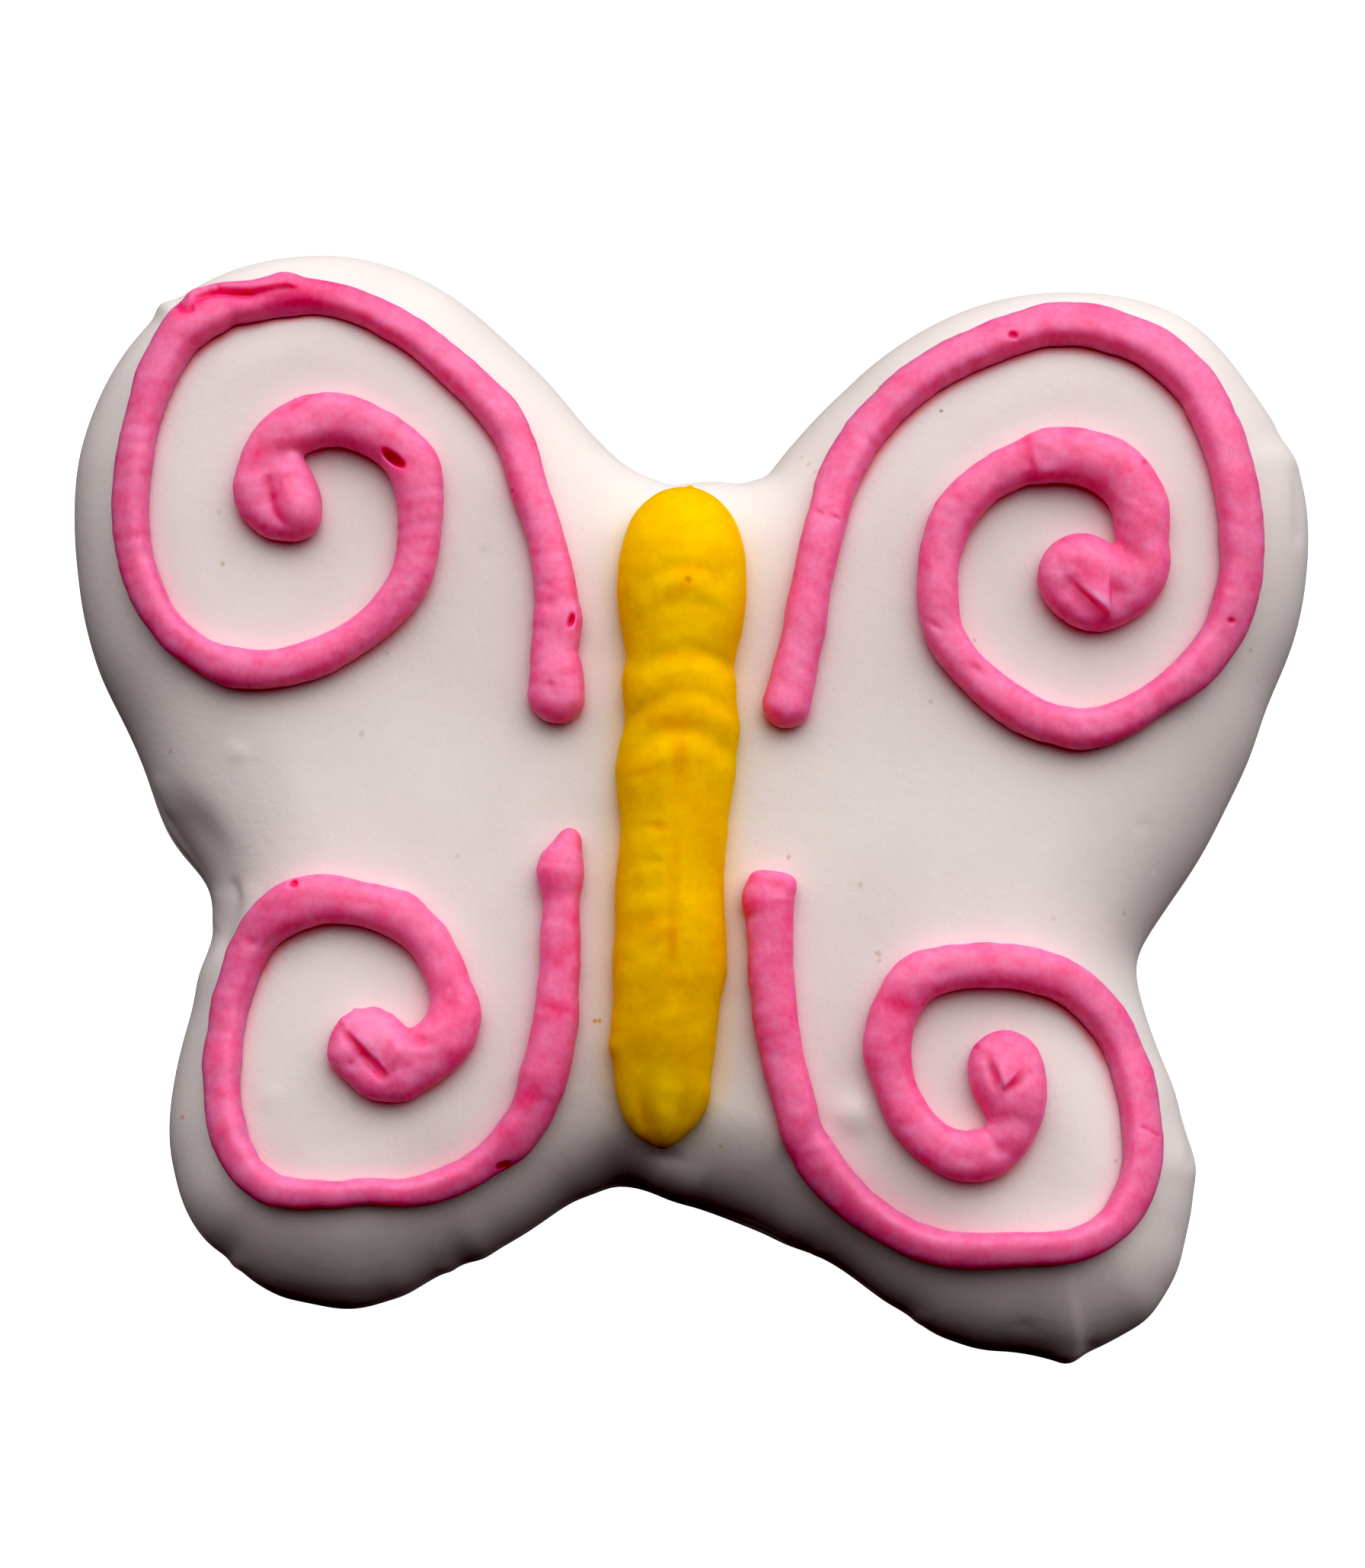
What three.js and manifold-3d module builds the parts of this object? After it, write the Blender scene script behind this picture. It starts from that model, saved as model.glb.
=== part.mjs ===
// Iced sugar cookie: a butterfly-shaped biscuit fully coated in white icing,
// with one piped pink scroll on each wing and a piped yellow body.
//
// Millimetres, +Z up. The flat underside lies on z = 0, the body of the
// butterfly runs along Y with its head at +Y, and the wings spread along X.
import * as THREE from 'three';
import { mergeVertices } from 'three/addons/utils/BufferGeometryUtils.js';
import Module from 'manifold-3d';

const wasm = await Module();
wasm.setup();

// ---------------------------------------------------------------- sizes
// Coated biscuit, seen from above: four wing lobes and a waist, each a
// superellipse, melted into one another.
const LOBES = [
  //               centre            half-axes        turn    power
  { name: 'fore_right', x: 23.72, y: 13.51, a: 22.82, b: 32.14, turn: -29.4, power: 2.11 },
  { name: 'fore_left', x: -31.13, y: 22.68, a: 20.03, b: 22.34, turn: 3.0, power: 2.12 },
  { name: 'hind_left', x: -21.21, y: -19.27, a: 17.2, b: 23.66, turn: -38.3, power: 1.96 },
  { name: 'hind_right', x: 19.0, y: -19.09, a: 15.84, b: 27.67, turn: 39.2, power: 2.23 },
  { name: 'waist', x: -4.0, y: -0.89, a: 38.31, b: 25.68, turn: -28.5, power: 3.1 },
];
const MELT = 2.91;             // how softly neighbouring lobes run together

// Unevenness of the dipped edge: [bearing in degrees, reach, spread in degrees]
const EDGE_SWELLS = [
  [12.1, -0.58, 3.1], [38.6, -1.5, 5.0], [41.7, 1.05, 12.3], [54.6, -0.85, 5.9],
  [87.5, 0.97, 4.0], [105.0, -1.42, 9.1], [107.5, 1.32, 2.8], [183.9, 0.4, 3.6],
  [190.4, -0.65, 2.7], [214.7, 0.26, 3.3], [239.2, 1.27, 2.9], [243.1, -1.38, 4.0],
  [289.6, -0.68, 2.7], [343.7, -0.31, 3.1], [356.2, 0.37, 4.4],
];
const EDGE_NUBS = [
  [79.1, -0.45, 1.1], [110.0, 1.5, 1.7], [138.0, 0.58, 0.7], [200.3, 0.53, 1.8],
  [226.3, -0.41, 1.5], [257.3, 0.31, 1.7], [302.3, -0.6, 1.7], [305.8, 0.58, 0.9],
  [313.2, 0.29, 1.5], [320.7, -0.29, 1.7], [326.4, 0.52, 1.2],
];
const NUB_FADE = 4.0;          // nubs die out this far in from the edge

const FOOT_INSET = 1.6;        // how far the underside stops short of the foot
const FOOT_HEIGHT = 1.1;       // height of the foot's widest ring
const SHOULDER_START = 2.2;    // height where the rounded side begins
const SHOULDER_INSET = 0.2;
const SHOULDER_WIDTH = 11.0;   // plan width of the rounded side
const SHOULDER_RISE = 10.0;    // and its height
const SHOULDER_POWER = 2.05;
const TOP = SHOULDER_START + SHOULDER_RISE;

// Gentle swells and hollows of the poured top: [x, y, height, spread]
const TOP_RELIEF = [
  [-31, 22, 0.35, 9], [31, 20, 0.35, 9], [-25, -22, 0.3, 8], [25, -24, 0.3, 8],
  [-2, 25, -1.1, 7], [-4, -29, -1.6, 6.5], [8, -27, -1.0, 6],
  [-40, -4, -1.4, 7], [37, -8, -1.0, 7],
  [-31, 26, -0.6, 8], [-19, 8, -0.4, 6], [-32, -4, 0.3, 5], [24, -8, 0.6, 9],
  [36, 4, -0.2, 5], [13, 4, -0.2, 5], [7, -25, 0.45, 6], [-26, -26, 0.45, 9],
];

const AROUND = 96;             // facets round the edge
const SIDE_STEPS = [12, 26, 40, 55, 74];   // degrees up the rounded side
const TOP_RINGS = 5;

// Piped pink scrolls. Each starts in a blob near its eye and winds outward;
// reach and width are given at every eighth of a turn.
const TURN_STEP = 45;
const SCROLLS = {
  scroll_fore_left: {
    eye: [-32.8, 23.2], start: -108.4, turn: -647.9,
    reach: [1.53, 1.24, 1.44, 2.86, 5.59, 8.85, 11.27, 13.23, 15.18, 13.3, 12.68, 15.61, 15.52, 17.1, 22.41, 35.12],
    width: [4.0, 4.0, 4.1, 4.1, 4.1, 4.3, 3.5, 3.4, 3.4, 2.8, 2.9, 3.7, 3.1, 3.2, 3.3, 4.4],
    blob: 2.75, tail: 2.1, join: 0.24,
  },
  scroll_fore_right: {
    eye: [26.1, 19.4], start: -26.6, turn: 602.4,
    reach: [5.09, 9.74, 9.08, 7.0, 6.71, 7.59, 10.26, 14.3, 16.17, 17.46, 19.78, 17.18, 16.22, 18.56, 32.25],
    width: [4.2, 4.3, 4.3, 3.9, 3.6, 3.3, 3.4, 3.6, 3.4, 3.5, 3.8, 3.6, 3.3, 3.4, 3.8],
    blob: 3.0, tail: 1.9, join: 0.2,
  },
  scroll_hind_left: {
    eye: [-23.4, -20.8], start: 180.0, turn: 590.9,
    reach: [1.48, 1.18, 1.54, 2.17, 4.31, 6.96, 10.32, 13.12, 12.39, 14.38, 11.6, 12.36, 13.01, 18.93, 42.89],
    width: [4.4, 4.4, 4.4, 4.3, 4.4, 3.7, 4.2, 3.9, 2.9, 3.1, 2.8, 3.3, 3.7, 3.1, 2.4],
    blob: 2.85, tail: 1.3, join: 0.26,
  },
  scroll_hind_right: {
    eye: [23.8, -21.5], start: 0.0, turn: -579.7,
    reach: [1.57, 2.07, 6.58, 7.21, 7.71, 8.97, 8.12, 9.34, 11.12, 15.04, 14.13, 14.93, 15.86, 22.76],
    width: [4.2, 4.1, 4.3, 3.9, 3.7, 4.1, 4.1, 3.8, 3.2, 3.1, 3.3, 3.5, 3.6, 3.9],
    blob: 3.05, tail: 2.0, join: 0.24,
  },
};
const SCROLL_RISE = 0.71;      // height of a piped line over its width
const SCROLL_STEP = 3.3;       // length between its sections
const SCROLL_SIDES = 8;
const BLOB_FLAT = 0.72;        // height of a blob over its width

// Piped yellow body: a fat line with a bulbous head that tapers to the tail.
const BODY_AXIS = -1.32;       // x of its centre line
const BODY_HEAD = 25.4;
const BODY_TAIL = -28.2;
const BODY_RISE = 4.3;
// half width at even stations from head to tail, before its ends are rounded off
const BODY_HALF = [4.5, 5.0, 5.15, 5.0, 4.4, 4.5, 4.7, 4.4, 4.15, 4.25, 4.3, 4.4, 4.3, 4.15, 3.95, 3.6, 3.3];
const HEAD_ROUND = 5.2;        // length of the rounded ends
const TAIL_ROUND = 4.0;
const TAIL_THINS = [-12, 14, 0.35];        // y where the tail starts to thin, over what length, by what share
const BODY_DROOP = 0.62;       // how far it follows the coating down over an edge
const BODY_SIDES = 12;
const BODY_SECTIONS = 20;

const GAP = 0.3;               // clearance between a piped piece and the coating

// ---------------------------------------------------------------- helpers
const rad = (d) => (d * Math.PI) / 180;

function superellipse(x, y, { x: cx, y: cy, a, b, turn, power }) {
  const c = Math.cos(rad(turn)), s = Math.sin(rad(turn));
  const u = (x - cx) * c + (y - cy) * s, v = -(x - cx) * s + (y - cy) * c;
  const q = (Math.abs(u / a) ** power + Math.abs(v / b) ** power + 1e-12) ** (1 / power);
  return (q - 1) * Math.sqrt(a * b);
}

function melted(x, y) {
  const ds = LOBES.map((l) => superellipse(x, y, l));
  const m = Math.min(...ds);
  return m - MELT * Math.log(ds.reduce((t, d) => t + Math.exp(-(d - m) / MELT), 0));
}

function swell(table, deg) {
  let t = 0;
  for (const [at, reach, spread] of table) {
    const d = ((((deg - at + 180) % 360) + 360) % 360) - 180;
    t += reach * Math.exp(-((d / spread) ** 2) / 2);
  }
  return t;
}

// distance from the origin to the edge of the coating at a bearing
function edgeReach(deg) {
  const c = Math.cos(rad(deg)), s = Math.sin(rad(deg));
  let lo = 16, hi = 72;
  for (let r = 72; r > 16; r -= 1) {
    if (melted(r * c, r * s) < 0) { lo = r; hi = r + 1; break; }
  }
  for (let i = 0; i < 24; i++) {
    const m = (lo + hi) / 2;
    if (melted(m * c, m * s) < 0) lo = m; else hi = m;
  }
  return (lo + hi) / 2 + swell(EDGE_SWELLS, deg);
}

// smooth outline with its inward normals
const OUTLINE = [];
for (let i = 0; i < AROUND; i++) {
  const deg = (i * 360) / AROUND;
  const at = (d) => { const r = edgeReach(d); return [r * Math.cos(rad(d)), r * Math.sin(rad(d))]; };
  const p = at(deg), f = at(deg + 2), b = at(deg - 2);
  const tx = f[0] - b[0], ty = f[1] - b[1], l = Math.hypot(tx, ty);
  OUTLINE.push({ deg, p, n: [-ty / l, tx / l] });
}

function edgeDistance(x, y) {
  let best = Infinity;
  for (let i = 0; i < OUTLINE.length; i++) {
    const [ax, ay] = OUTLINE[i].p, [bx, by] = OUTLINE[(i + 1) % OUTLINE.length].p;
    const ex = bx - ax, ey = by - ay;
    const t = Math.min(1, Math.max(0, ((x - ax) * ex + (y - ay) * ey) / (ex * ex + ey * ey)));
    best = Math.min(best, Math.hypot(x - ax - t * ex, y - ay - t * ey));
  }
  return best;
}

const relief = (x, y) => TOP_RELIEF.reduce(
  (t, [cx, cy, h, s]) => t + h * Math.exp(-((x - cx) ** 2 + (y - cy) ** 2) / (2 * s * s)), 0);

// height of the rounded side, then the top, at a distance in from the edge
function sideHeight(d) {
  const t = Math.min(1, Math.max(0, (d - SHOULDER_INSET) / SHOULDER_WIDTH));
  return SHOULDER_START + SHOULDER_RISE * (1 - (1 - t) ** SHOULDER_POWER) ** (1 / SHOULDER_POWER);
}

// swells fade to nothing down the side, so that the foot stays level
const reliefShare = (d) => { const t = Math.min(1, d / SHOULDER_WIDTH); return t * t * (3 - 2 * t); };

// a closed solid from rings of points, with a point at each end
function loft(first, rings, last) {
  const n = rings[0].length, pos = [...first], idx = [];
  for (const r of rings) for (const p of r) pos.push(...p);
  pos.push(...last);
  const at = (r, i) => 1 + r * n + (i % n), end = 1 + rings.length * n;
  for (let i = 0; i < n; i++) idx.push(0, at(0, i + 1), at(0, i));
  for (let r = 0; r + 1 < rings.length; r++) {
    for (let i = 0; i < n; i++) {
      const a = at(r, i), b = at(r, i + 1), c = at(r + 1, i + 1), d = at(r + 1, i);
      idx.push(a, b, c, a, c, d);
    }
  }
  for (let i = 0; i < n; i++) idx.push(at(rings.length - 1, i), at(rings.length - 1, i + 1), end);
  const g = new THREE.BufferGeometry();
  g.setAttribute('position', new THREE.BufferAttribute(new Float32Array(pos), 3));
  g.setIndex(idx);
  return g;
}

function toSolid(geometry) {
  const g = mergeVertices(geometry, 1e-4);
  return new wasm.Manifold(new wasm.Mesh({
    numProp: 3,
    vertProperties: Float32Array.from(g.attributes.position.array),
    triVerts: Uint32Array.from(g.index.array),
  }));
}

function toGeometry(solid) {
  const m = solid.getMesh(), g = new THREE.BufferGeometry();
  g.setAttribute('position', new THREE.BufferAttribute(Float32Array.from(m.vertProperties), 3));
  g.setIndex(Array.from(m.triVerts));
  return g;
}

// ---------------------------------------------------------------- coated biscuit
function coatedBiscuit() {
  const ring = (inset, z) => OUTLINE.map(({ deg, p, n }) => {
    const nub = swell(EDGE_NUBS, deg) * Math.exp(-((inset / NUB_FADE) ** 2));
    const x = p[0] + n[0] * inset + nub * Math.cos(rad(deg));
    const y = p[1] + n[1] * inset + nub * Math.sin(rad(deg));
    return [x, y, z + relief(x, y) * reliefShare(inset)];
  });
  const rings = [
    OUTLINE.map(({ p, n }) => [p[0] + n[0] * FOOT_INSET, p[1] + n[1] * FOOT_INSET, 0]),
    ring(0.15, FOOT_HEIGHT / 2),
    ring(0, FOOT_HEIGHT),
    ring(0.25, (FOOT_HEIGHT + SHOULDER_START) / 2),
  ];
  for (const a of SIDE_STEPS) {
    const k = 2 / SHOULDER_POWER;
    rings.push(ring(
      SHOULDER_INSET + SHOULDER_WIDTH * (1 - Math.cos(rad(a)) ** k),
      SHOULDER_START + SHOULDER_RISE * Math.sin(rad(a)) ** k));
  }
  const inner = rings[rings.length - 1];
  const topAt = (x, y) => { const d = edgeDistance(x, y); return sideHeight(d) + relief(x, y) * reliefShare(d); };
  for (let k = 1; k < TOP_RINGS; k++) {
    const s = 1 - k / TOP_RINGS;
    rings.push(inner.map(([x, y]) => [x * s, y * s, topAt(x * s, y * s)]));
  }
  return loft([0, 0, 0], rings, [0, 0, topAt(0, 0)]);
}

const biscuitGeometry = coatedBiscuit();

// height and slope of the faceted coating under a point seen from above
const SKIN = (() => {
  const p = biscuitGeometry.attributes.position.array, ix = biscuitGeometry.index.array, out = [];
  for (let i = 0; i < ix.length; i += 3) {
    const [a, b, c] = [ix[i], ix[i + 1], ix[i + 2]].map((k) => [p[3 * k], p[3 * k + 1], p[3 * k + 2]]);
    const nz = (b[0] - a[0]) * (c[1] - a[1]) - (b[1] - a[1]) * (c[0] - a[0]);
    if (nz > 1e-6) out.push([a, b, c, nz]);
  }
  return out;
})();

function skinHeight(x, y) {
  let z = 0;
  for (const [a, b, c, nz] of SKIN) {
    const u = ((b[0] - x) * (c[1] - y) - (b[1] - y) * (c[0] - x)) / nz;
    const v = ((c[0] - x) * (a[1] - y) - (c[1] - y) * (a[0] - x)) / nz;
    const w = 1 - u - v;
    if (u > -1e-5 && v > -1e-5 && w > -1e-5) z = Math.max(z, u * a[2] + v * b[2] + w * c[2]);
  }
  return z;
}

function skinNormal(x, y, span = 1.2) {
  const dx = skinHeight(x + span, y) - skinHeight(x - span, y);
  const dy = skinHeight(x, y + span) - skinHeight(x, y - span);
  return new THREE.Vector3(-dx / (2 * span), -dy / (2 * span), 1).normalize();
}

// ---------------------------------------------------------------- piped lines
// smooth value between evenly spaced stations
function between(row, u) {
  const i = Math.min(row.length - 2, Math.max(0, Math.floor(u))), t = u - i;
  const at = (k) => (k < 0 ? 2 * row[0] - row[1]
    : k >= row.length ? 2 * row[row.length - 1] - row[row.length - 2] : row[k]);
  const [p0, p1, p2, p3] = [at(i - 1), at(i), at(i + 1), at(i + 2)];
  return 0.5 * (2 * p1 + (p2 - p0) * t + (2 * p0 - 5 * p1 + 4 * p2 - p3) * t * t
    + (-p0 + 3 * p1 - 3 * p2 + p3) * t * t * t);
}

// one piped stretch: round sections standing on the coating
function pipe(points) {
  const rings = [], n = points.length;
  const ends = [];
  for (let i = 0; i < n; i++) {
    const a = points[Math.max(0, i - 1)], b = points[Math.min(n - 1, i + 1)], p = points[i];
    const up = skinNormal(p.x, p.y);
    const along = new THREE.Vector3(b.x - a.x, b.y - a.y, 0).normalize();
    const side = new THREE.Vector3().crossVectors(up, along).normalize();
    const foot = new THREE.Vector3(p.x, p.y, skinHeight(p.x, p.y));
    const half = p.width / 2, rise = p.width * SCROLL_RISE;
    const hub = foot.clone().addScaledVector(up, rise * 0.4);
    const ring = [];
    for (let k = 0; k < SCROLL_SIDES; k++) {
      const t = (2 * Math.PI * k) / SCROLL_SIDES + Math.PI / 2;
      ring.push(hub.clone().addScaledVector(side, half * Math.cos(t))
        .addScaledVector(up, rise * 0.6 * Math.sin(t)).toArray());
    }
    rings.push(ring);
    if (i === 0 || i === n - 1) ends.push({ hub, along: along.clone().multiplyScalar(i ? 1 : -1), half });
  }
  const shrink = (ring, { hub, along, half }, s, f) => ring.map(([x, y, z]) => [
    hub.x + (x - hub.x) * s + along.x * half * f,
    hub.y + (y - hub.y) * s + along.y * half * f,
    hub.z + (z - hub.z) * s]);
  const tip = ({ hub, along, half }, f) => [hub.x + along.x * half * f, hub.y + along.y * half * f, hub.z];
  const all = [shrink(rings[0], ends[0], 0.75, 0.5), ...rings, shrink(rings[n - 1], ends[1], 0.75, 0.5)];
  return toSolid(loft(tip(ends[0], 0.8), all, tip(ends[1], 0.8)));
}

// a round blob of icing standing on the coating
function blob(x, y, radius) {
  const g = new THREE.SphereGeometry(1, 12, 7);
  g.deleteAttribute('normal');
  g.deleteAttribute('uv');
  g.rotateX(Math.PI / 2);
  g.scale(radius, radius, radius * BLOB_FLAT);
  g.translate(x, y, skinHeight(x, y) + radius * 0.4);
  return toSolid(g);
}

// everything less than GAP above the coating
const raisedSkin = toSolid(biscuitGeometry.clone().translate(0, 0, GAP));

function scroll({ eye, start, turn, reach, width, blob: blobRadius, tail, join }) {
  const sign = Math.sign(turn), total = Math.abs(turn);
  const path = [];
  const at = (deg) => {
    const u = deg / TURN_STEP, r = between(reach, u), a = rad(start + sign * deg);
    return { x: eye[0] + r * Math.cos(a), y: eye[1] + r * Math.sin(a), width: between(width, u) };
  };
  let last = null, run = 0;
  for (let deg = 0; deg <= total + 1e-6; deg += 0.5) {
    const p = at(Math.min(deg, total));
    if (last) run += Math.hypot(p.x - last.x, p.y - last.y);
    if (!last || run >= SCROLL_STEP * (path.length < 9 ? 0.62 : 1)) { path.push(p); run = 0; }
    last = p;
  }
  if (run > SCROLL_STEP * 0.4) path.push(last); else path[path.length - 1] = last;
  // the first hook and the long outer sweep are two stretches, so that neither
  // runs into itself
  const cut = Math.round(path.length * join);
  let solid = pipe(path.slice(0, cut + 1)).add(pipe(path.slice(cut - 1)));
  solid = solid.add(blob(path[0].x, path[0].y, blobRadius));
  if (tail > 1.6) {
    const e = path[path.length - 1];
    solid = solid.add(blob(e.x, e.y, tail));
  }
  return toGeometry(solid.subtract(raisedSkin));
}

// ---------------------------------------------------------------- piped body
function pipedBody() {
  const rings = [], length = BODY_HEAD - BODY_TAIL;
  const bow = (t) => Math.sqrt(Math.max(0, 1 - (1 - Math.min(1, t)) ** 2));
  for (let i = 1; i < BODY_SECTIONS; i++) {
    // sections crowd towards the two rounded ends
    const f = (1 - Math.cos((Math.PI * i) / BODY_SECTIONS)) / 2;
    const y = BODY_HEAD - length * f;
    const round = bow((BODY_HEAD - y) / HEAD_ROUND) * bow((y - BODY_TAIL) / TAIL_ROUND);
    const half = between(BODY_HALF, f * (BODY_HALF.length - 1)) * round;
    const z = skinHeight(BODY_AXIS, y) * BODY_DROOP + TOP * (1 - BODY_DROOP);
    const [from, over, share] = TAIL_THINS, thin = Math.min(1, Math.max(0, (from - y) / over));
    const rise = BODY_RISE * Math.sqrt(round) * (1 - share * thin * thin * (3 - 2 * thin));
    rings.push(Array.from({ length: BODY_SIDES }, (_, k) => {
      const t = (2 * Math.PI * k) / BODY_SIDES;
      return [BODY_AXIS + half * Math.cos(t), y, z + rise * 0.25 + rise * 0.75 * Math.sin(t)];
    }));
  }
  const end = (y) => [BODY_AXIS, y, skinHeight(BODY_AXIS, y) * BODY_DROOP + TOP * (1 - BODY_DROOP) + 0.4];
  const g = loft(end(BODY_HEAD), rings, end(BODY_TAIL));
  return toGeometry(toSolid(g).subtract(raisedSkin));
}

// ---------------------------------------------------------------- assembly
const icing = (color, roughness) => new THREE.MeshStandardMaterial({ color, roughness, metalness: 0 });
const white = icing(0xe9e3dc, 0.5), pink = icing(0xf2609f, 0.5), yellow = icing(0xefc20a, 0.42);

// the pieces are drawn about the meeting point of the wings, then moved so that
// the origin is under the middle of the whole outline
biscuitGeometry.computeBoundingBox();
const middle = biscuitGeometry.boundingBox.getCenter(new THREE.Vector3());

const group = new THREE.Group();
function place(name, geometry, material) {
  geometry.computeVertexNormals();
  const mesh = new THREE.Mesh(geometry, material);
  mesh.name = name;
  mesh.position.set(-middle.x, -middle.y, 0);
  group.add(mesh);
}
place('iced_biscuit', biscuitGeometry, white);
for (const [name, sizes] of Object.entries(SCROLLS)) place(name, scroll(sizes), pink);
place('piped_body', pipedBody(), yellow);

export default group;
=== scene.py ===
"""Looks of the iced butterfly cookie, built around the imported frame.

Sizes are in millimetres on the drawing axes of the part, whose origin is the
meeting point of the wings; MIDDLE moves them to the frame's axes, and every
mesh is written in metres.
"""
import math

import bpy
import numpy as np
from mathutils import Matrix, Vector
from mathutils.bvhtree import BVHTree


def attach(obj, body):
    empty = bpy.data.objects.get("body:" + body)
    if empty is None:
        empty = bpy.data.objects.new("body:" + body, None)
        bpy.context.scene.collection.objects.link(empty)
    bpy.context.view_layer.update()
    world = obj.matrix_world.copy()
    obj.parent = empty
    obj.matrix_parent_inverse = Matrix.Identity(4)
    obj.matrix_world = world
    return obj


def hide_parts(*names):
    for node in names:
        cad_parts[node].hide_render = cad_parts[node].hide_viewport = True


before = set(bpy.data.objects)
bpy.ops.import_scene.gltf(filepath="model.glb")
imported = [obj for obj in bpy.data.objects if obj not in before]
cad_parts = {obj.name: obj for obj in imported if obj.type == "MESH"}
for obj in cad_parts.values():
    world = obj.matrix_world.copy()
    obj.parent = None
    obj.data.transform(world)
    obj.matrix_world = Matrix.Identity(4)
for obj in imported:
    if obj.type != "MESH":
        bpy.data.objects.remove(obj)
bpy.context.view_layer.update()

MIDDLE = np.array([0.6545867919921875, -0.9028587341308594, 0.0])

# ------------------------------------------------------------------ camera
LENS, SENSOR = 100.0, 36.0
PIXELS = (1792.0, 2059.0)
FOCAL = LENS / SENSOR * PIXELS[1]
ELEVATION, ROLL = math.radians(82.0), math.radians(1.67)
EYE = np.array([-0.73629, -47.19970, 352.38829])       # drawing axes, mm
_r0 = np.array([1.0, 0.0, 0.0])
_u0 = np.array([0.0, math.sin(ELEVATION), math.cos(ELEVATION)])
CAM_BACK = np.array([0.0, -math.cos(ELEVATION), math.sin(ELEVATION)])
CAM_RIGHT = math.cos(ROLL) * _r0 + math.sin(ROLL) * _u0
CAM_UP = -math.sin(ROLL) * _r0 + math.cos(ROLL) * _u0


def spot(u, v, z=14.0):
    """drawing position of what shows at a picture position, at height z"""
    d = (u - PIXELS[0] / 2) / FOCAL * CAM_RIGHT - (v - PIXELS[1] / 2) / FOCAL * CAM_UP - CAM_BACK
    t = (z - EYE[2]) / d[2]
    return EYE[0] + d[0] * t, EYE[1] + d[1] * t


def seen(p):
    """picture position of points on the drawing axes"""
    d = np.asarray(p, float) - EYE
    depth = -(d @ CAM_BACK)
    return PIXELS[0] / 2 + FOCAL * (d @ CAM_RIGHT) / depth, PIXELS[1] / 2 - FOCAL * (d @ CAM_UP) / depth


PX = 0.059            # mm for one pixel of the picture, at the iced top


# ------------------------------------------------------------------ helpers
def catmull(row, u):
    row = np.asarray(row, float)
    v = np.concatenate([[2 * row[0] - row[1]], row, [2 * row[-1] - row[-2]]])
    i = np.clip(np.floor(u).astype(int), 0, len(row) - 2)
    t = u - i
    p0, p1, p2, p3 = v[i], v[i + 1], v[i + 2], v[i + 3]
    return 0.5 * (2 * p1 + (p2 - p0) * t + (2 * p0 - 5 * p1 + 4 * p2 - p3) * t * t
                  + (-p0 + 3 * p1 - 3 * p2 + p3) * t ** 3)


def smooth(t):
    t = np.clip(t, 0, 1)
    return t * t * (3 - 2 * t)


def swell(table, deg):
    total = np.zeros_like(deg)
    for at, reach, spread in table:
        d = (deg - at + 180) % 360 - 180
        total += reach * np.exp(-((d / spread) ** 2) / 2)
    return total


class Lumps:
    """smooth seeded unevenness of about unit size, with a given wavelength in mm"""

    def __init__(self, seed, wavelength, waves=40):
        r = np.random.default_rng(seed)
        k = r.normal(size=(waves, 3))
        k /= np.linalg.norm(k, axis=1)[:, None]
        self.k = k * (2 * math.pi / wavelength) * r.uniform(0.6, 1.5, waves)[:, None]
        self.phase = r.uniform(0, 2 * math.pi, waves)
        self.gain = math.sqrt(2.0 / waves)

    def __call__(self, x, y, z=0.0):
        out = np.zeros(np.broadcast(x, y, z).shape)
        for (a, b, c), p in zip(self.k, self.phase):
            out += np.cos(a * x + b * y + c * z + p)
        return out * self.gain


def oval(u, v, at, size):
    """squared distance from a spot, in half-axes of an oval turned clockwise"""
    a, b, turn = size
    c, s = math.cos(math.radians(turn)), math.sin(math.radians(turn))
    p, q = (u - at[0]) * c + (v - at[1]) * s, -(u - at[0]) * s + (v - at[1]) * c
    return (p / a) ** 2 + (q / b) ** 2


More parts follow.
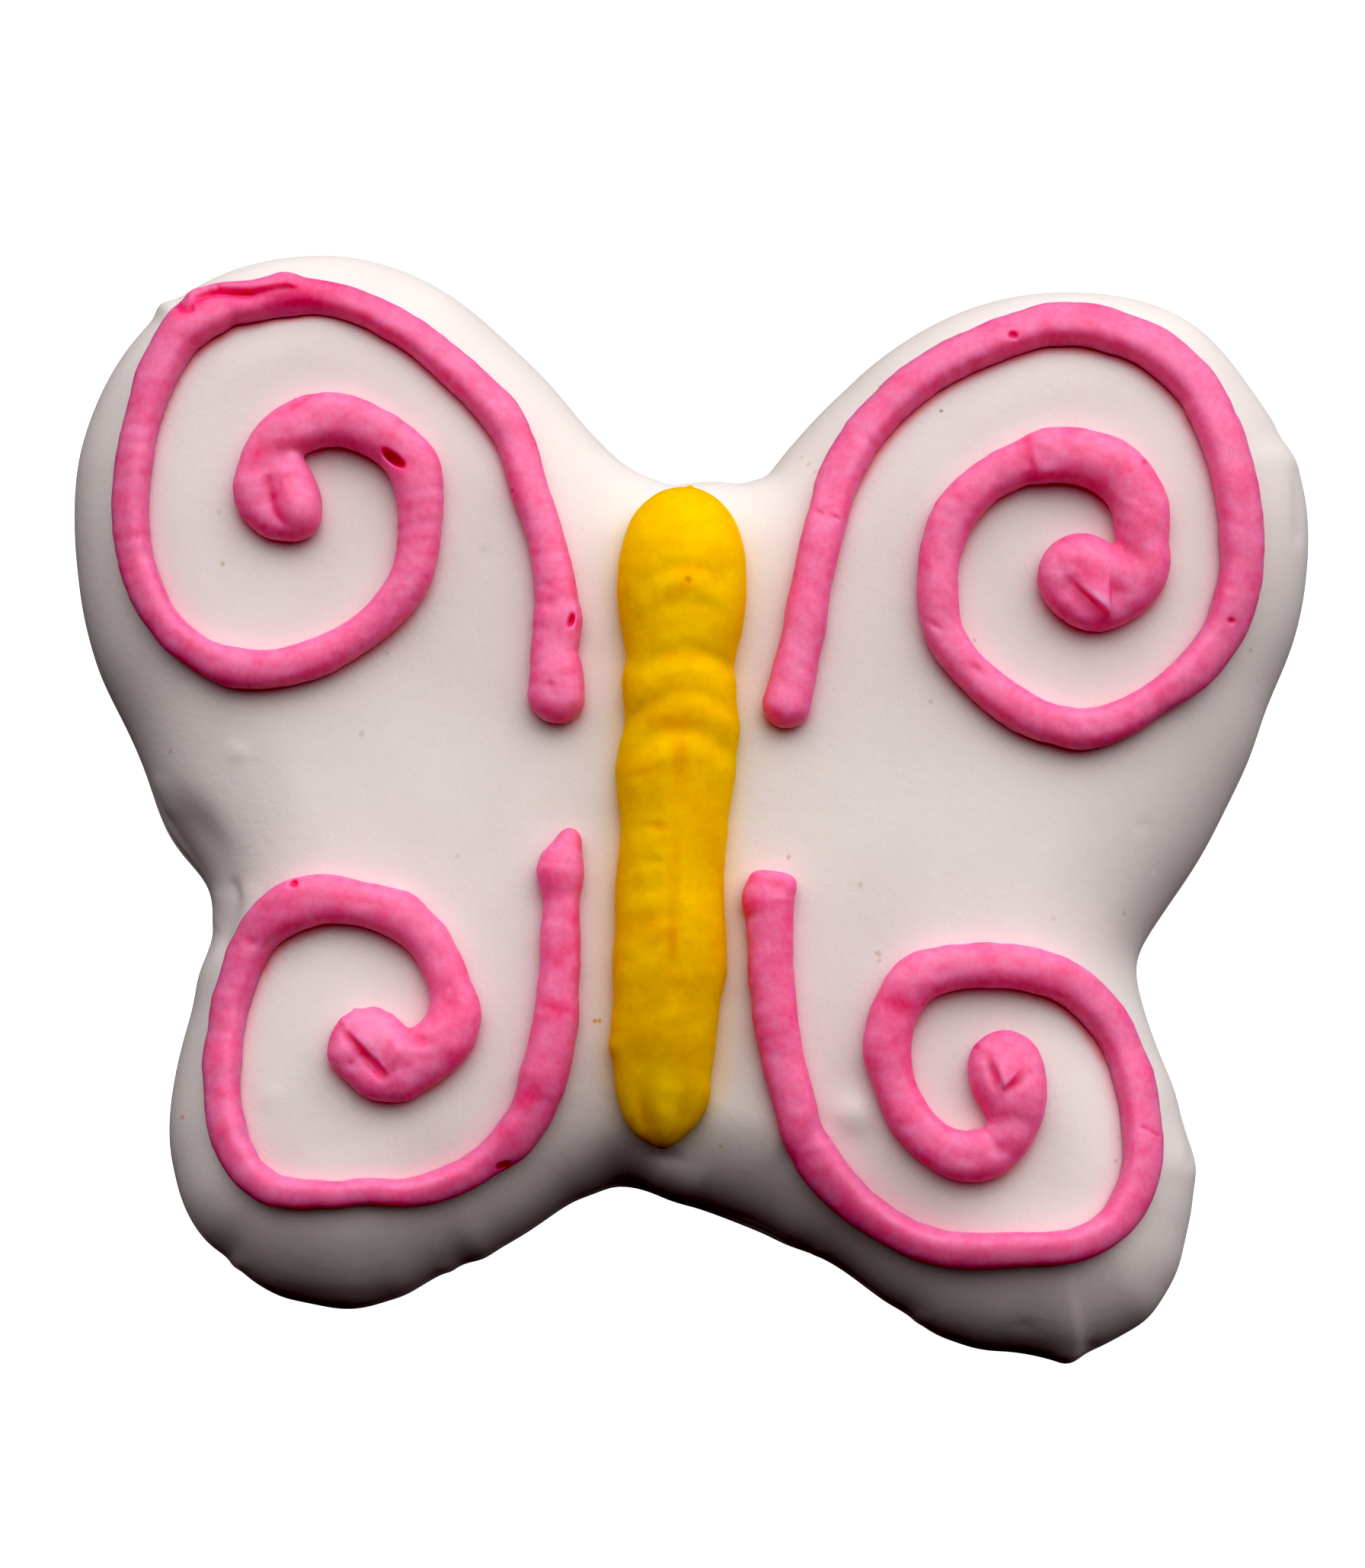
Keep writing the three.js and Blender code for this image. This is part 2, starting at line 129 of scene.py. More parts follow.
class Marks:
    """dents, holes, creases, ridges and lips, each placed by where it shows; sizes are
    in pixels and depths in mm, and a depth below zero stands out. A lip stands out to
    the left of its line, with a sharp edge on the line. A flap is a leaf that rises to a
    point: where it starts, its point and its other shoulder. A stain row is colour only:
    deeper colour, as in creases, folds and hollows, is partly painted shade, and paler
    colour on raised tops is painted highlight."""

    def __init__(self, rows):
        self.rows = [r for r in rows if r[0] != "stain_and_painted_shading"]
        # holes and sunk creases also deepen the colour by their depth: painted shade in them
        self.colour = [r for r in rows if r[0] == "stain_and_painted_shading" or r[0] in ("hole", "line") and r[3] > 0]

    @staticmethod
    def reach(kind, at, size):
        if kind in ("line", "lip", "flap"):
            p, r = np.array(at, float), 2.6 * (size if kind == "line" else size[-1])
            return p[:, 0].min() - r, p[:, 0].max() + r, p[:, 1].min() - r, p[:, 1].max() + r
        if kind == "arc":
            left, right, drop, half = size
            low = drop * max(left, right) ** 2 / 3600
            return at[0] - left - 3 * half, at[0] + right + 3 * half, at[1] - 3 * half, at[1] + low + 4 * half
        r = 2.6 * max(size[:2])
        return at[0] - r, at[0] + r, at[1] - r, at[1] + r

    def stain_and_painted_shading(self, u, v):
        """how deeply coloured each place is, -1 (palest) to 1; the deep end is partly painted shade in hollows and
        creases, the pale end painted highlight
        """
        gain = {"stain_and_painted_shading": 1.0, "hole": 2.2, "line": 1.4}
        return np.clip(self([(k, a, s, gain[k] * d) for k, a, s, d in self.colour], u, v), -1, 1)

    def depth(self, u, v):
        return self(self.rows, u, v)

    def __call__(self, rows, u, v):
        shape = u.shape
        u, v = u.ravel(), v.ravel()
        total = np.zeros(len(u))
        for kind, at, size, depth in rows:
            u0, u1, v0, v1 = self.reach(kind, at, size)
            k = np.flatnonzero((u > u0) & (u < u1) & (v > v0) & (v < v1))
            if not len(k):
                continue
            x, y = u[k], v[k]
            if kind in ("line", "lip"):
                p = np.array(at, float)
                if len(p) > 2:
                    t = np.linspace(0, len(p) - 1, 5 * (len(p) - 1) + 1)
                    p = np.stack([catmull(p[:, 0], t), catmull(p[:, 1], t)], 1)
                c, e = p[:-1, 0] + 1j * p[:-1, 1], np.diff(p[:, 0]) + 1j * np.diff(p[:, 1])
                z = (x + 1j * y)[:, None] - c
                t = np.clip((z * e.conj()).real / np.abs(e) ** 2, 0, 1)
                away = np.abs(z - t * e)
                near = np.argmin(away, axis=1)
                row = np.arange(len(x))
                away = away[row, near]
                along = (near + t[row, near]) / len(e)
                taper = smooth(np.minimum(along, 1 - along) / 0.22 + 0.08)
                if kind == "line":
                    shape_at = taper * np.exp(-(away / size) ** 2)
                else:
                    left = -(z[row, near] * e[near].conj()).imag / np.abs(e[near])
                    edge, fall = size
                    shape_at = taper * smooth(left / edge + 0.5) * np.exp(-(away / fall) ** 2)
            elif kind == "flap":
                root, point, shoulder = (complex(*q) for q in at)
                edge, other, fall = size
                z, e, f = x + 1j * y, point - root, shoulder - point
                along = ((z - root) * e.conjugate()).real / abs(e) ** 2
                left = -((z - root) * e.conjugate()).imag / abs(e)
                right = -((z - point) * f.conjugate()).imag / abs(f)
                shape_at = (smooth(left / edge + 0.5) * smooth(right / other + 0.5) * smooth(along / 0.85)
                            * np.exp(-(left / fall) ** 2))
            elif kind == "arc":
                left, right, drop, half = size
                du = x - at[0]
                off = y - at[1] - drop * du * du / 3600
                off /= np.sqrt(1 + (drop * du / 1800) ** 2)
                ends = smooth((du + left + 14) / 20) * smooth((right + 14 - du) / 20)
                shape_at = ends * (np.exp(-(off / half) ** 2) - 0.45 * np.exp(-((off / half - 1.9) / 1.2) ** 2))
            else:
                q = oval(x, y, at, size)
                shape_at = np.exp(-q * q) if kind == "hole" else np.exp(-q)
            total[k] += depth * shape_at
        return total.reshape(shape)


def new_object(name, points, faces, material, smooth_shading=True):
    """mesh object from points in mm on the drawing axes; faces is a list of index arrays"""
    me = bpy.data.meshes.new(name)
    points = (np.asarray(points) + MIDDLE) / 1000.0
    counts = np.concatenate([np.full(len(f), f.shape[1]) for f in faces])
    loops = np.concatenate([f.ravel() for f in faces]).astype(np.int32)
    starts = np.concatenate([[0], np.cumsum(counts)[:-1]]).astype(np.int32)
    me.vertices.add(len(points))
    me.vertices.foreach_set("co", points.astype(np.float32).ravel())
    me.loops.add(len(loops))
    me.loops.foreach_set("vertex_index", loops)
    me.polygons.add(len(counts))
    me.polygons.foreach_set("loop_start", starts)
    me.polygons.foreach_set("use_smooth", np.full(len(counts), smooth_shading))
    me.update(calc_edges=True)
    me.validate()
    me.materials.append(material)
    ob = bpy.data.objects.new(name, me)
    bpy.context.scene.collection.objects.link(ob)
    return ob


def point_value(ob, name, values):
    at = ob.data.attributes.new(name, "FLOAT", "POINT")
    at.data.foreach_set("value", np.asarray(values, np.float32))


# ------------------------------------------------------------------ sizes of the coated biscuit
LOBES = [
    #  centre            half-axes      turn   power
    (23.72, 13.51, 22.82, 32.14, -29.4, 2.11),
    (-31.13, 22.68, 20.03, 22.34, 3.0, 2.12),
    (-21.21, -19.27, 17.2, 23.66, -38.3, 1.96),
    (19.0, -19.09, 15.84, 27.67, 39.2, 2.23),
    (-4.0, -0.89, 38.31, 25.68, -28.5, 3.1),
]
MELT = 2.91
EDGE_SWELLS = [
    (12.1, -0.58, 3.1), (38.6, -1.5, 5.0), (41.7, 1.05, 12.3), (54.6, -0.85, 5.9),
    (87.5, 0.97, 4.0), (105.0, -1.42, 9.1), (107.5, 1.32, 2.8), (183.9, 0.4, 3.6),
    (190.4, -0.65, 2.7), (214.7, 0.26, 3.3), (239.2, 1.27, 2.9), (243.1, -1.38, 4.0),
    (289.6, -0.68, 2.7), (343.7, -0.31, 3.1), (356.2, 0.37, 4.4),
]
EDGE_NUBS = [
    (79.1, -0.45, 1.1), (110.0, 1.5, 1.7), (138.0, 0.58, 0.7), (200.3, 0.53, 1.8),
    (226.3, -0.41, 1.5), (257.3, 0.31, 1.7), (302.3, -0.6, 1.7), (305.8, 0.58, 0.9),
    (313.2, 0.29, 1.5), (320.7, -0.29, 1.7), (326.4, 0.52, 1.2),
]
EDGE_TRIMS = [
    (17.5, 0.14, 14.0), (31.5, 0.13, 0.8), (34.0, -0.17, 0.8), (66.5, 0.22, 7.0), (72.0, -0.15, 0.8),
    (95.0, -0.15, 1.3), (112.5, 0.31, 7.0), (124.0, 0.11, 2.2), (152.0, 0.10, 2.2), (160.5, -0.13, 2.2),
    (169.0, 0.18, 2.2), (193.5, 0.06, 14.0), (232.0, 0.16, 1.3), (241.5, 0.30, 0.8), (247.0, 0.35, 0.8),
    (250.5, 0.16, 14.0), (269.0, 0.20, 2.2), (284.0, 0.11, 1.3), (294.0, 0.26, 7.0), (294.5, -0.26, 0.8),
    (296.5, 0.14, 0.8), (318.5, -0.06, 7.0), (331.5, 0.22, 1.3), (332.5, 0.24, 14.0), (342.0, -0.16, 2.2),
]
NUB_FADE = 4.0
FOOT = [(1.6, 0.0), (0.95, 0.03), (0.42, 0.22), (0.12, 0.6), (0.0, 1.1), (0.04, 1.65)]
SHOULDER_START, SHOULDER_INSET = 2.2, 0.2
SHOULDER_WIDTH, SHOULDER_RISE, SHOULDER_POWER = 11.0, 10.0, 2.05
TOP = SHOULDER_START + SHOULDER_RISE
TOP_RELIEF = [
    (-31, 22, 0.35, 9), (31, 20, 0.35, 9), (-25, -22, 0.3, 8), (25, -24, 0.3, 8),
    (-2, 25, -1.1, 7), (-4, -29, -1.6, 6.5), (8, -27, -1.0, 6),
    (-40, -4, -1.4, 7), (37, -8, -1.0, 7),
    (-31, 26, -0.6, 8), (-19, 8, -0.4, 6), (-32, -4, 0.3, 5), (24, -8, 0.6, 9),
    (36, 4, -0.2, 5), (13, 4, -0.2, 5), (7, -25, 0.45, 6), (-26, -26, 0.45, 9),
]
# dents, folds and lumps of the coating, as for the piping
COAT_MARKS = [
    # left notch: a valley, a skirt below it and the crease between
    ("dent", (266, 1096), (50, 24, 58), 0.35),
    ("dent", (236, 1094), (52, 36, 58), 0.5),
    ("line", [(300, 1150), (309, 1172), (308, 1194), (298, 1228), (289, 1262)], 8, 0.26),
    ("line", [(322, 1158), (328, 1185), (318, 1225), (306, 1258)], 14, -0.12),
    ("line", [(286, 1165), (288, 1190), (281, 1225)], 9, -0.12),
    ("line", [(206, 1016), (213, 1048), (222, 1080)], 9, -0.1),
    # bottom notch: two valleys with a ridge between
    ("dent", (820, 1538), (34, 40, 30), 0.35),
    ("dent", (1000, 1578), (80, 52, 20), 0.45),
    ("line", [(905, 1462), (960, 1466), (1010, 1480), (1050, 1505)], 42, -0.34),
    # the fuller shoulder along the bottom of the left wing
    ("line", [(230, 1530), (300, 1574), (390, 1596), (490, 1594), (590, 1572)], 56, -0.42),
    ("line", [(1240, 1608), (1320, 1637), (1420, 1643), (1500, 1618)], 46, -0.25),
    ("line", [(850, 1538), (890, 1552), (925, 1566)], 24, -0.25),
    ("dent", (873, 1520), (22, 9, 0), 0.2),
    # bubble, lumps
    ("dent", (1121, 1462), (25, 25, 0), -0.5),
    ("dent", (312, 988), (15, 12, 0), -0.12),
    ("dent", (357, 1440), (14, 14, 0), -0.1),
    ("dent", (636, 723), (16, 12, 0), 0.04),
    # right foot bump and its crease
    ("line", [(1698, 604), (1703, 640), (1705, 684), (1704, 720)], 8, 0.16),
    ("dent", (1708, 618), (14, 26, 0), -0.15),
    # foot line below the left wing
    ("line", [(346, 1690), (400, 1698), (470, 1700), (552, 1694)], 9, 0.05),
    ("dent", (311, 1659), (12, 9, 0), -0.2),
    ("dent", (590, 1665), (14, 9, 0), -0.2),
    # drips and lumps below the right wing
    ("dent", (1072, 1647), (12, 8, 0), -0.15),
    ("dent", (1206, 1733), (12, 8, 0), -0.15),
    ("dent", (1397, 1782), (12, 9, 0), -0.2),
    ("dent", (1431, 1770), (12, 9, 0), 0.15),
    ("dent", (1347, 1742), (12, 8, 0), 0.1),
    ("line", [(1562, 1482), (1566, 1510), (1558, 1540)], 8, 0.12),
    ("line", [(1490, 1086), (1501, 1084), (1514, 1086)], 4, 0.07),
    ("line", [(846, 1337), (852, 1343)], 4, -0.05),
]
AROUND = 896
SIDE_RINGS = 46
TOP_RINGS = 78


# ------------------------------------------------------------------ coated biscuit
def melted(x, y):
    ds = []
    for cx, cy, a, b, turn, power in LOBES:
        c, s = math.cos(math.radians(turn)), math.sin(math.radians(turn))
        u, v = (x - cx) * c + (y - cy) * s, -(x - cx) * s + (y - cy) * c
        q = (np.abs(u / a) ** power + np.abs(v / b) ** power + 1e-12) ** (1 / power)
        ds.append((q - 1) * math.sqrt(a * b))
    ds = np.stack(ds)
    m = ds.min(0)
    return m - MELT * np.log(np.exp(-(ds - m) / MELT).sum(0))


def edge_reach(deg):
    c, s = np.cos(np.radians(deg)), np.sin(np.radians(deg))
    r = np.arange(72.0, 16.0, -1.0)
    first = np.argmax(melted(r[:, None] * c, r[:, None] * s) < 0, axis=0)
    lo, hi = r[first], r[first] + 1
    for _ in range(26):
        mid = (lo + hi) / 2
        inside = melted(mid * c, mid * s) < 0
        lo, hi = np.where(inside, mid, lo), np.where(inside, hi, mid)
    return (lo + hi) / 2


def outline():
    """edge points evenly spaced along the edge, the soft line behind them and its inward normals"""
    deg = np.arange(2880) * 0.125
    reach = edge_reach(deg) + sum(swell(t, deg) for t in (EDGE_SWELLS, EDGE_NUBS, EDGE_TRIMS))
    z = reach * np.exp(1j * np.radians(deg))
    step = np.abs(np.diff(np.append(z, z[0])))
    s = np.concatenate([[0], np.cumsum(step)])
    n = AROUND * 5
    at = np.arange(n) * s[-1] / n
    z = np.interp(at, s, np.append(z.real, z.real[0])) + 1j * np.interp(at, s, np.append(z.imag, z.imag[0]))
    freq = np.fft.fftfreq(n, s[-1] / n) * 2 * math.pi
    spectrum = np.fft.fft(z)
    soft = np.fft.ifft(spectrum * np.exp(-(freq * 2.6) ** 2 / 2))
    normal = np.fft.ifft(spectrum * 1j * freq * np.exp(-(freq * 2.6) ** 2 / 2)) * 1j
    normal /= np.abs(normal)
    fine = np.fft.ifft(spectrum * np.exp(-(freq * 0.12) ** 2 / 2))
    return fine[::5], soft[::5], normal[::5]


EDGE, SOFT, INWARD = outline()
EDGE_DEG = np.degrees(np.angle(EDGE)) % 360


def side_height(d, width):
    t = np.clip((d - SHOULDER_INSET) / width, 0, 1)
    return SHOULDER_START + SHOULDER_RISE * (1 - (1 - t) ** SHOULDER_POWER) ** (1 / SHOULDER_POWER)


def relief(x, y):
    total = np.zeros(np.broadcast(x, y).shape)
    for cx, cy, h, s in TOP_RELIEF:
        total += h * np.exp(-((x - cx) ** 2 + (y - cy) ** 2) / (2 * s * s))
    return total


def relief_share(d):
    return smooth(d / SHOULDER_WIDTH)


def edge_distance(x, y):
    """distance to the soft line, and the index of the nearest of its points"""
    a, b = SOFT, np.roll(SOFT, -1)
    p = (x + 1j * y).ravel()
    dist, near = np.empty(len(p)), np.empty(len(p), int)
    for i in range(0, len(p), 4000):
        q = p[i:i + 4000, None]
        k = np.argmin(np.abs(q - a), axis=1)
        near[i:i + 4000] = k
        best = None
        for j in (k, (k - 1) % len(a)):
            e = b[j] - a[j]
            t = np.clip(((q[:, 0] - a[j]) * e.conj()).real / np.abs(e) ** 2, 0, 1)
            d = np.abs(q[:, 0] - a[j] - t * e)
            best = d if best is None else np.minimum(best, d)
        dist[i:i + 4000] = best
    return dist.reshape(x.shape), near.reshape(x.shape)


def biscuit_mesh():
    width = np.full(AROUND, SHOULDER_WIDTH)
    rings, faces = [], []

    def ring(inset, z, share=True):
        p = SOFT + INWARD * inset + (EDGE - SOFT) * np.exp(-((inset / NUB_FADE) ** 2))
        z = z + relief(p.real, p.imag) * relief_share(np.broadcast_to(inset - SHOULDER_INSET, p.shape))
        return np.stack([p.real, p.imag, np.broadcast_to(z, p.shape)], 1)

    # underside, from its middle out
    base = SOFT + INWARD * FOOT[0][0] + (EDGE - SOFT) * 0.85
    for s in (0.1, 0.35, 0.65, 0.86, 0.96):
        rings.append(np.stack([base.real * s, base.imag * s, np.zeros(AROUND)], 1))
    # rounded foot
    for u in np.linspace(0, len(FOOT) - 1, 11):
        inset, z = catmull([f[0] for f in FOOT], np.array(u)), catmull([f[1] for f in FOOT], np.array(u))
        rings.append(ring(float(inset), max(0.0, float(z))))
        rings[-1][:, 2] = np.maximum(rings[-1][:, 2], 0.0)
    # rounded side
    k = 2 / SHOULDER_POWER
    for a in np.linspace(0.0, 74.0, SIDE_RINGS):
        c, s = math.cos(math.radians(a)) ** k, math.sin(math.radians(a)) ** k
        rings.append(ring(SHOULDER_INSET + width * (1 - c), SHOULDER_START + SHOULDER_RISE * s))
    inner = rings[-1][:, 0] + 1j * rings[-1][:, 1]
    sizes = [AROUND] * len(rings)
    # top, thinning out towards the middle
    count = AROUND
    for j in range(1, TOP_RINGS):
        s = 1 - j / TOP_RINGS
        if (s < 0.7 and count == AROUND) or (s < 0.4 and count == AROUND // 2) or (s < 0.2 and count == AROUND // 4):
            count //= 2
        p = inner[::AROUND // count] * s
        d, near = edge_distance(p.real, p.imag)
        z = side_height(d, width[near]) + relief(p.real, p.imag) * relief_share(d)
        rings.append(np.stack([p.real, p.imag, z], 1))
        sizes.append(count)
    d, near = edge_distance(np.zeros(1), np.zeros(1))
    top = np.array([[0, 0, float(side_height(d, width[near])[0] + relief(0.0, 0.0))]])

    points = np.concatenate([[[0, 0, 0]]] + rings + [top])
    quads, tris = [], []
    start, i = 1, np.arange(AROUND)
    tris.append(np.stack([np.zeros(AROUND, int), 1 + (i + 1) % AROUND, 1 + i], 1))
    for r in range(len(rings) - 1):
        n, m = sizes[r], sizes[r + 1]
        up = start + n
        i = np.arange(m)
        if n == m:
            quads.append(np.stack([start + i, start + (i + 1) % n, up + (i + 1) % n, up + i], 1))
        else:
            a, b, c = start + 2 * i, start + 2 * i + 1, start + (2 * i + 2) % n
            tris += [np.stack([a, b, up + i], 1), np.stack([b, c, up + (i + 1) % m], 1),
                     np.stack([b, up + (i + 1) % m, up + i], 1)]
        start = up
    n = sizes[-1]
    i = np.arange(n)
    tris.append(np.stack([start + i, start + (i + 1) % n, np.full(n, len(points) - 1)], 1))
    return points, np.concatenate(quads), np.concatenate(tris)


def press(points, quads, tris, marks):
    """points with the marks pressed into what faces up"""
    normal = np.zeros_like(points)
    for f in (quads, tris):
        n = np.cross(points[f[:, 2]] - points[f[:, 0]], points[f[:, -1]] - points[f[:, 1]])
        for k in range(f.shape[1]):
            np.add.at(normal, f[:, k], n)
    normal /= np.linalg.norm(normal, axis=1)[:, None] + 1e-12
    to_eye = EYE - points
    facing = (normal * to_eye).sum(1) / np.linalg.norm(to_eye, axis=1)
    share = smooth(facing / 0.2) * smooth(points[:, 2] / 0.8)
    points = points - normal * (marks.depth(*seen(points)) * share)[:, None]
    points[:, 2] = np.maximum(points[:, 2], 0.0)
    return points


# ------------------------------------------------------------------ the coating under the piping
class Skin:
    """height and slope of the coating, read from its finished mesh on an even grid"""
    STEP = 0.3

    def __init__(self, points, quads, tris):
        tree = BVHTree.FromPolygons(points.tolist(), quads.tolist() + tris.tolist())
        lo, hi = points.min(0)[:2] - 1, points.max(0)[:2] + 1
        self.lo = lo
        xs, ys = np.arange(lo[0], hi[0], self.STEP), np.arange(lo[1], hi[1], self.STEP)
        h = np.zeros((len(xs), len(ys)))
        down = Vector((0, 0, -1))
        for i, x in enumerate(xs):
            for j, y in enumerate(ys):
                hit = tree.ray_cast(Vector((x, y, 30)), down)
                h[i, j] = hit[0].z if hit[0] else 0.0
        self.h = h
        soft = h
        for _ in range(6):
            p = np.pad(soft, 1, mode="edge")
            soft = (p[:-2, 1:-1] + p[2:, 1:-1] + p[1:-1, :-2] + p[1:-1, 2:] + 4 * p[1:-1, 1:-1]) / 8
        self.gx, self.gy = np.gradient(soft, self.STEP)

    def _read(self, grid, x, y):
        u, v = (x - self.lo[0]) / self.STEP, (y - self.lo[1]) / self.STEP
        i = np.clip(np.floor(u).astype(int), 0, grid.shape[0] - 2)
        j = np.clip(np.floor(v).astype(int), 0, grid.shape[1] - 2)
        u, v = u - i, v - j
        return (grid[i, j] * (1 - u) * (1 - v) + grid[i + 1, j] * u * (1 - v)
                + grid[i, j + 1] * (1 - u) * v + grid[i + 1, j + 1] * u * v)

    def height(self, x, y):
        return self._read(self.h, x, y)

    def slope(self, x, y):
        return self._read(self.gx, x, y), self._read(self.gy, x, y)

    def lift(self, x, y, h):
        """points h above the coating, along its normal"""
        gx, gy = self.slope(x, y)
        n = 1 / np.sqrt(1 + gx * gx + gy * gy)
        return np.stack([x - gx * n * h, y - gy * n * h, self.height(x, y) + n * h], -1)


def closed_skin(values, origin, step):
    """closed quad mesh round the negative part of an evenly sampled field"""
    inside = values < 0
    c = inside.astype(np.int8)
    total = sum(c[i:c.shape[0] - 1 + i, j:c.shape[1] - 1 + j, k:c.shape[2] - 1 + k]
                for i in (0, 1) for j in (0, 1) for k in (0, 1))
    active = (total > 0) & (total < 8)
    number = np.full(active.shape, -1, np.int64)
    cells = np.argwhere(active)
    number[active] = np.arange(len(cells))
    acc, cnt = np.zeros((len(cells), 3)), np.zeros(len(cells))
    corners = [(i, j, k) for i in (0, 1) for j in (0, 1) for k in (0, 1)]
    for a in corners:
        for ax in range(3):
            if a[ax]:
                continue
            b = tuple(1 if q == ax else a[q] for q in range(3))
            va = values[cells[:, 0] + a[0], cells[:, 1] + a[1], cells[:, 2] + a[2]]
            vb = values[cells[:, 0] + b[0], cells[:, 1] + b[1], cells[:, 2] + b[2]]
            hit = (va < 0) != (vb < 0)
            t = va[hit] / (va[hit] - vb[hit])
            p = np.tile(np.array(a, float), (hit.sum(), 1))
            p[:, ax] = t
            acc[hit] += p
            cnt[hit] += 1
    pos = (cells + acc / cnt[:, None]) * step + origin
    quads = []
    for ax in range(3):
        b, c = (ax + 1) % 3, (ax + 2) % 3
        s0 = inside[tuple(slice(0, -1) if q == ax else slice(None) for q in range(3))]
        s1 = inside[tuple(slice(1, None) if q == ax else slice(None) for q in range(3))]
        e = np.argwhere(s0 != s1)
        e = e[(e[:, b] > 0) & (e[:, c] > 0) & (e[:, b] < values.shape[b] - 1) & (e[:, c] < values.shape[c] - 1)]
        out = s0[e[:, 0], e[:, 1], e[:, 2]]
        eb, ec = np.eye(3, dtype=int)[b], np.eye(3, dtype=int)[c]
        q = np.stack([number[tuple(x.T)] for x in (e, e - eb, e - eb - ec, e - ec)], 1)
        quads += [q[out], q[~out][:, ::-1]]
    return pos, np.concatenate(quads)


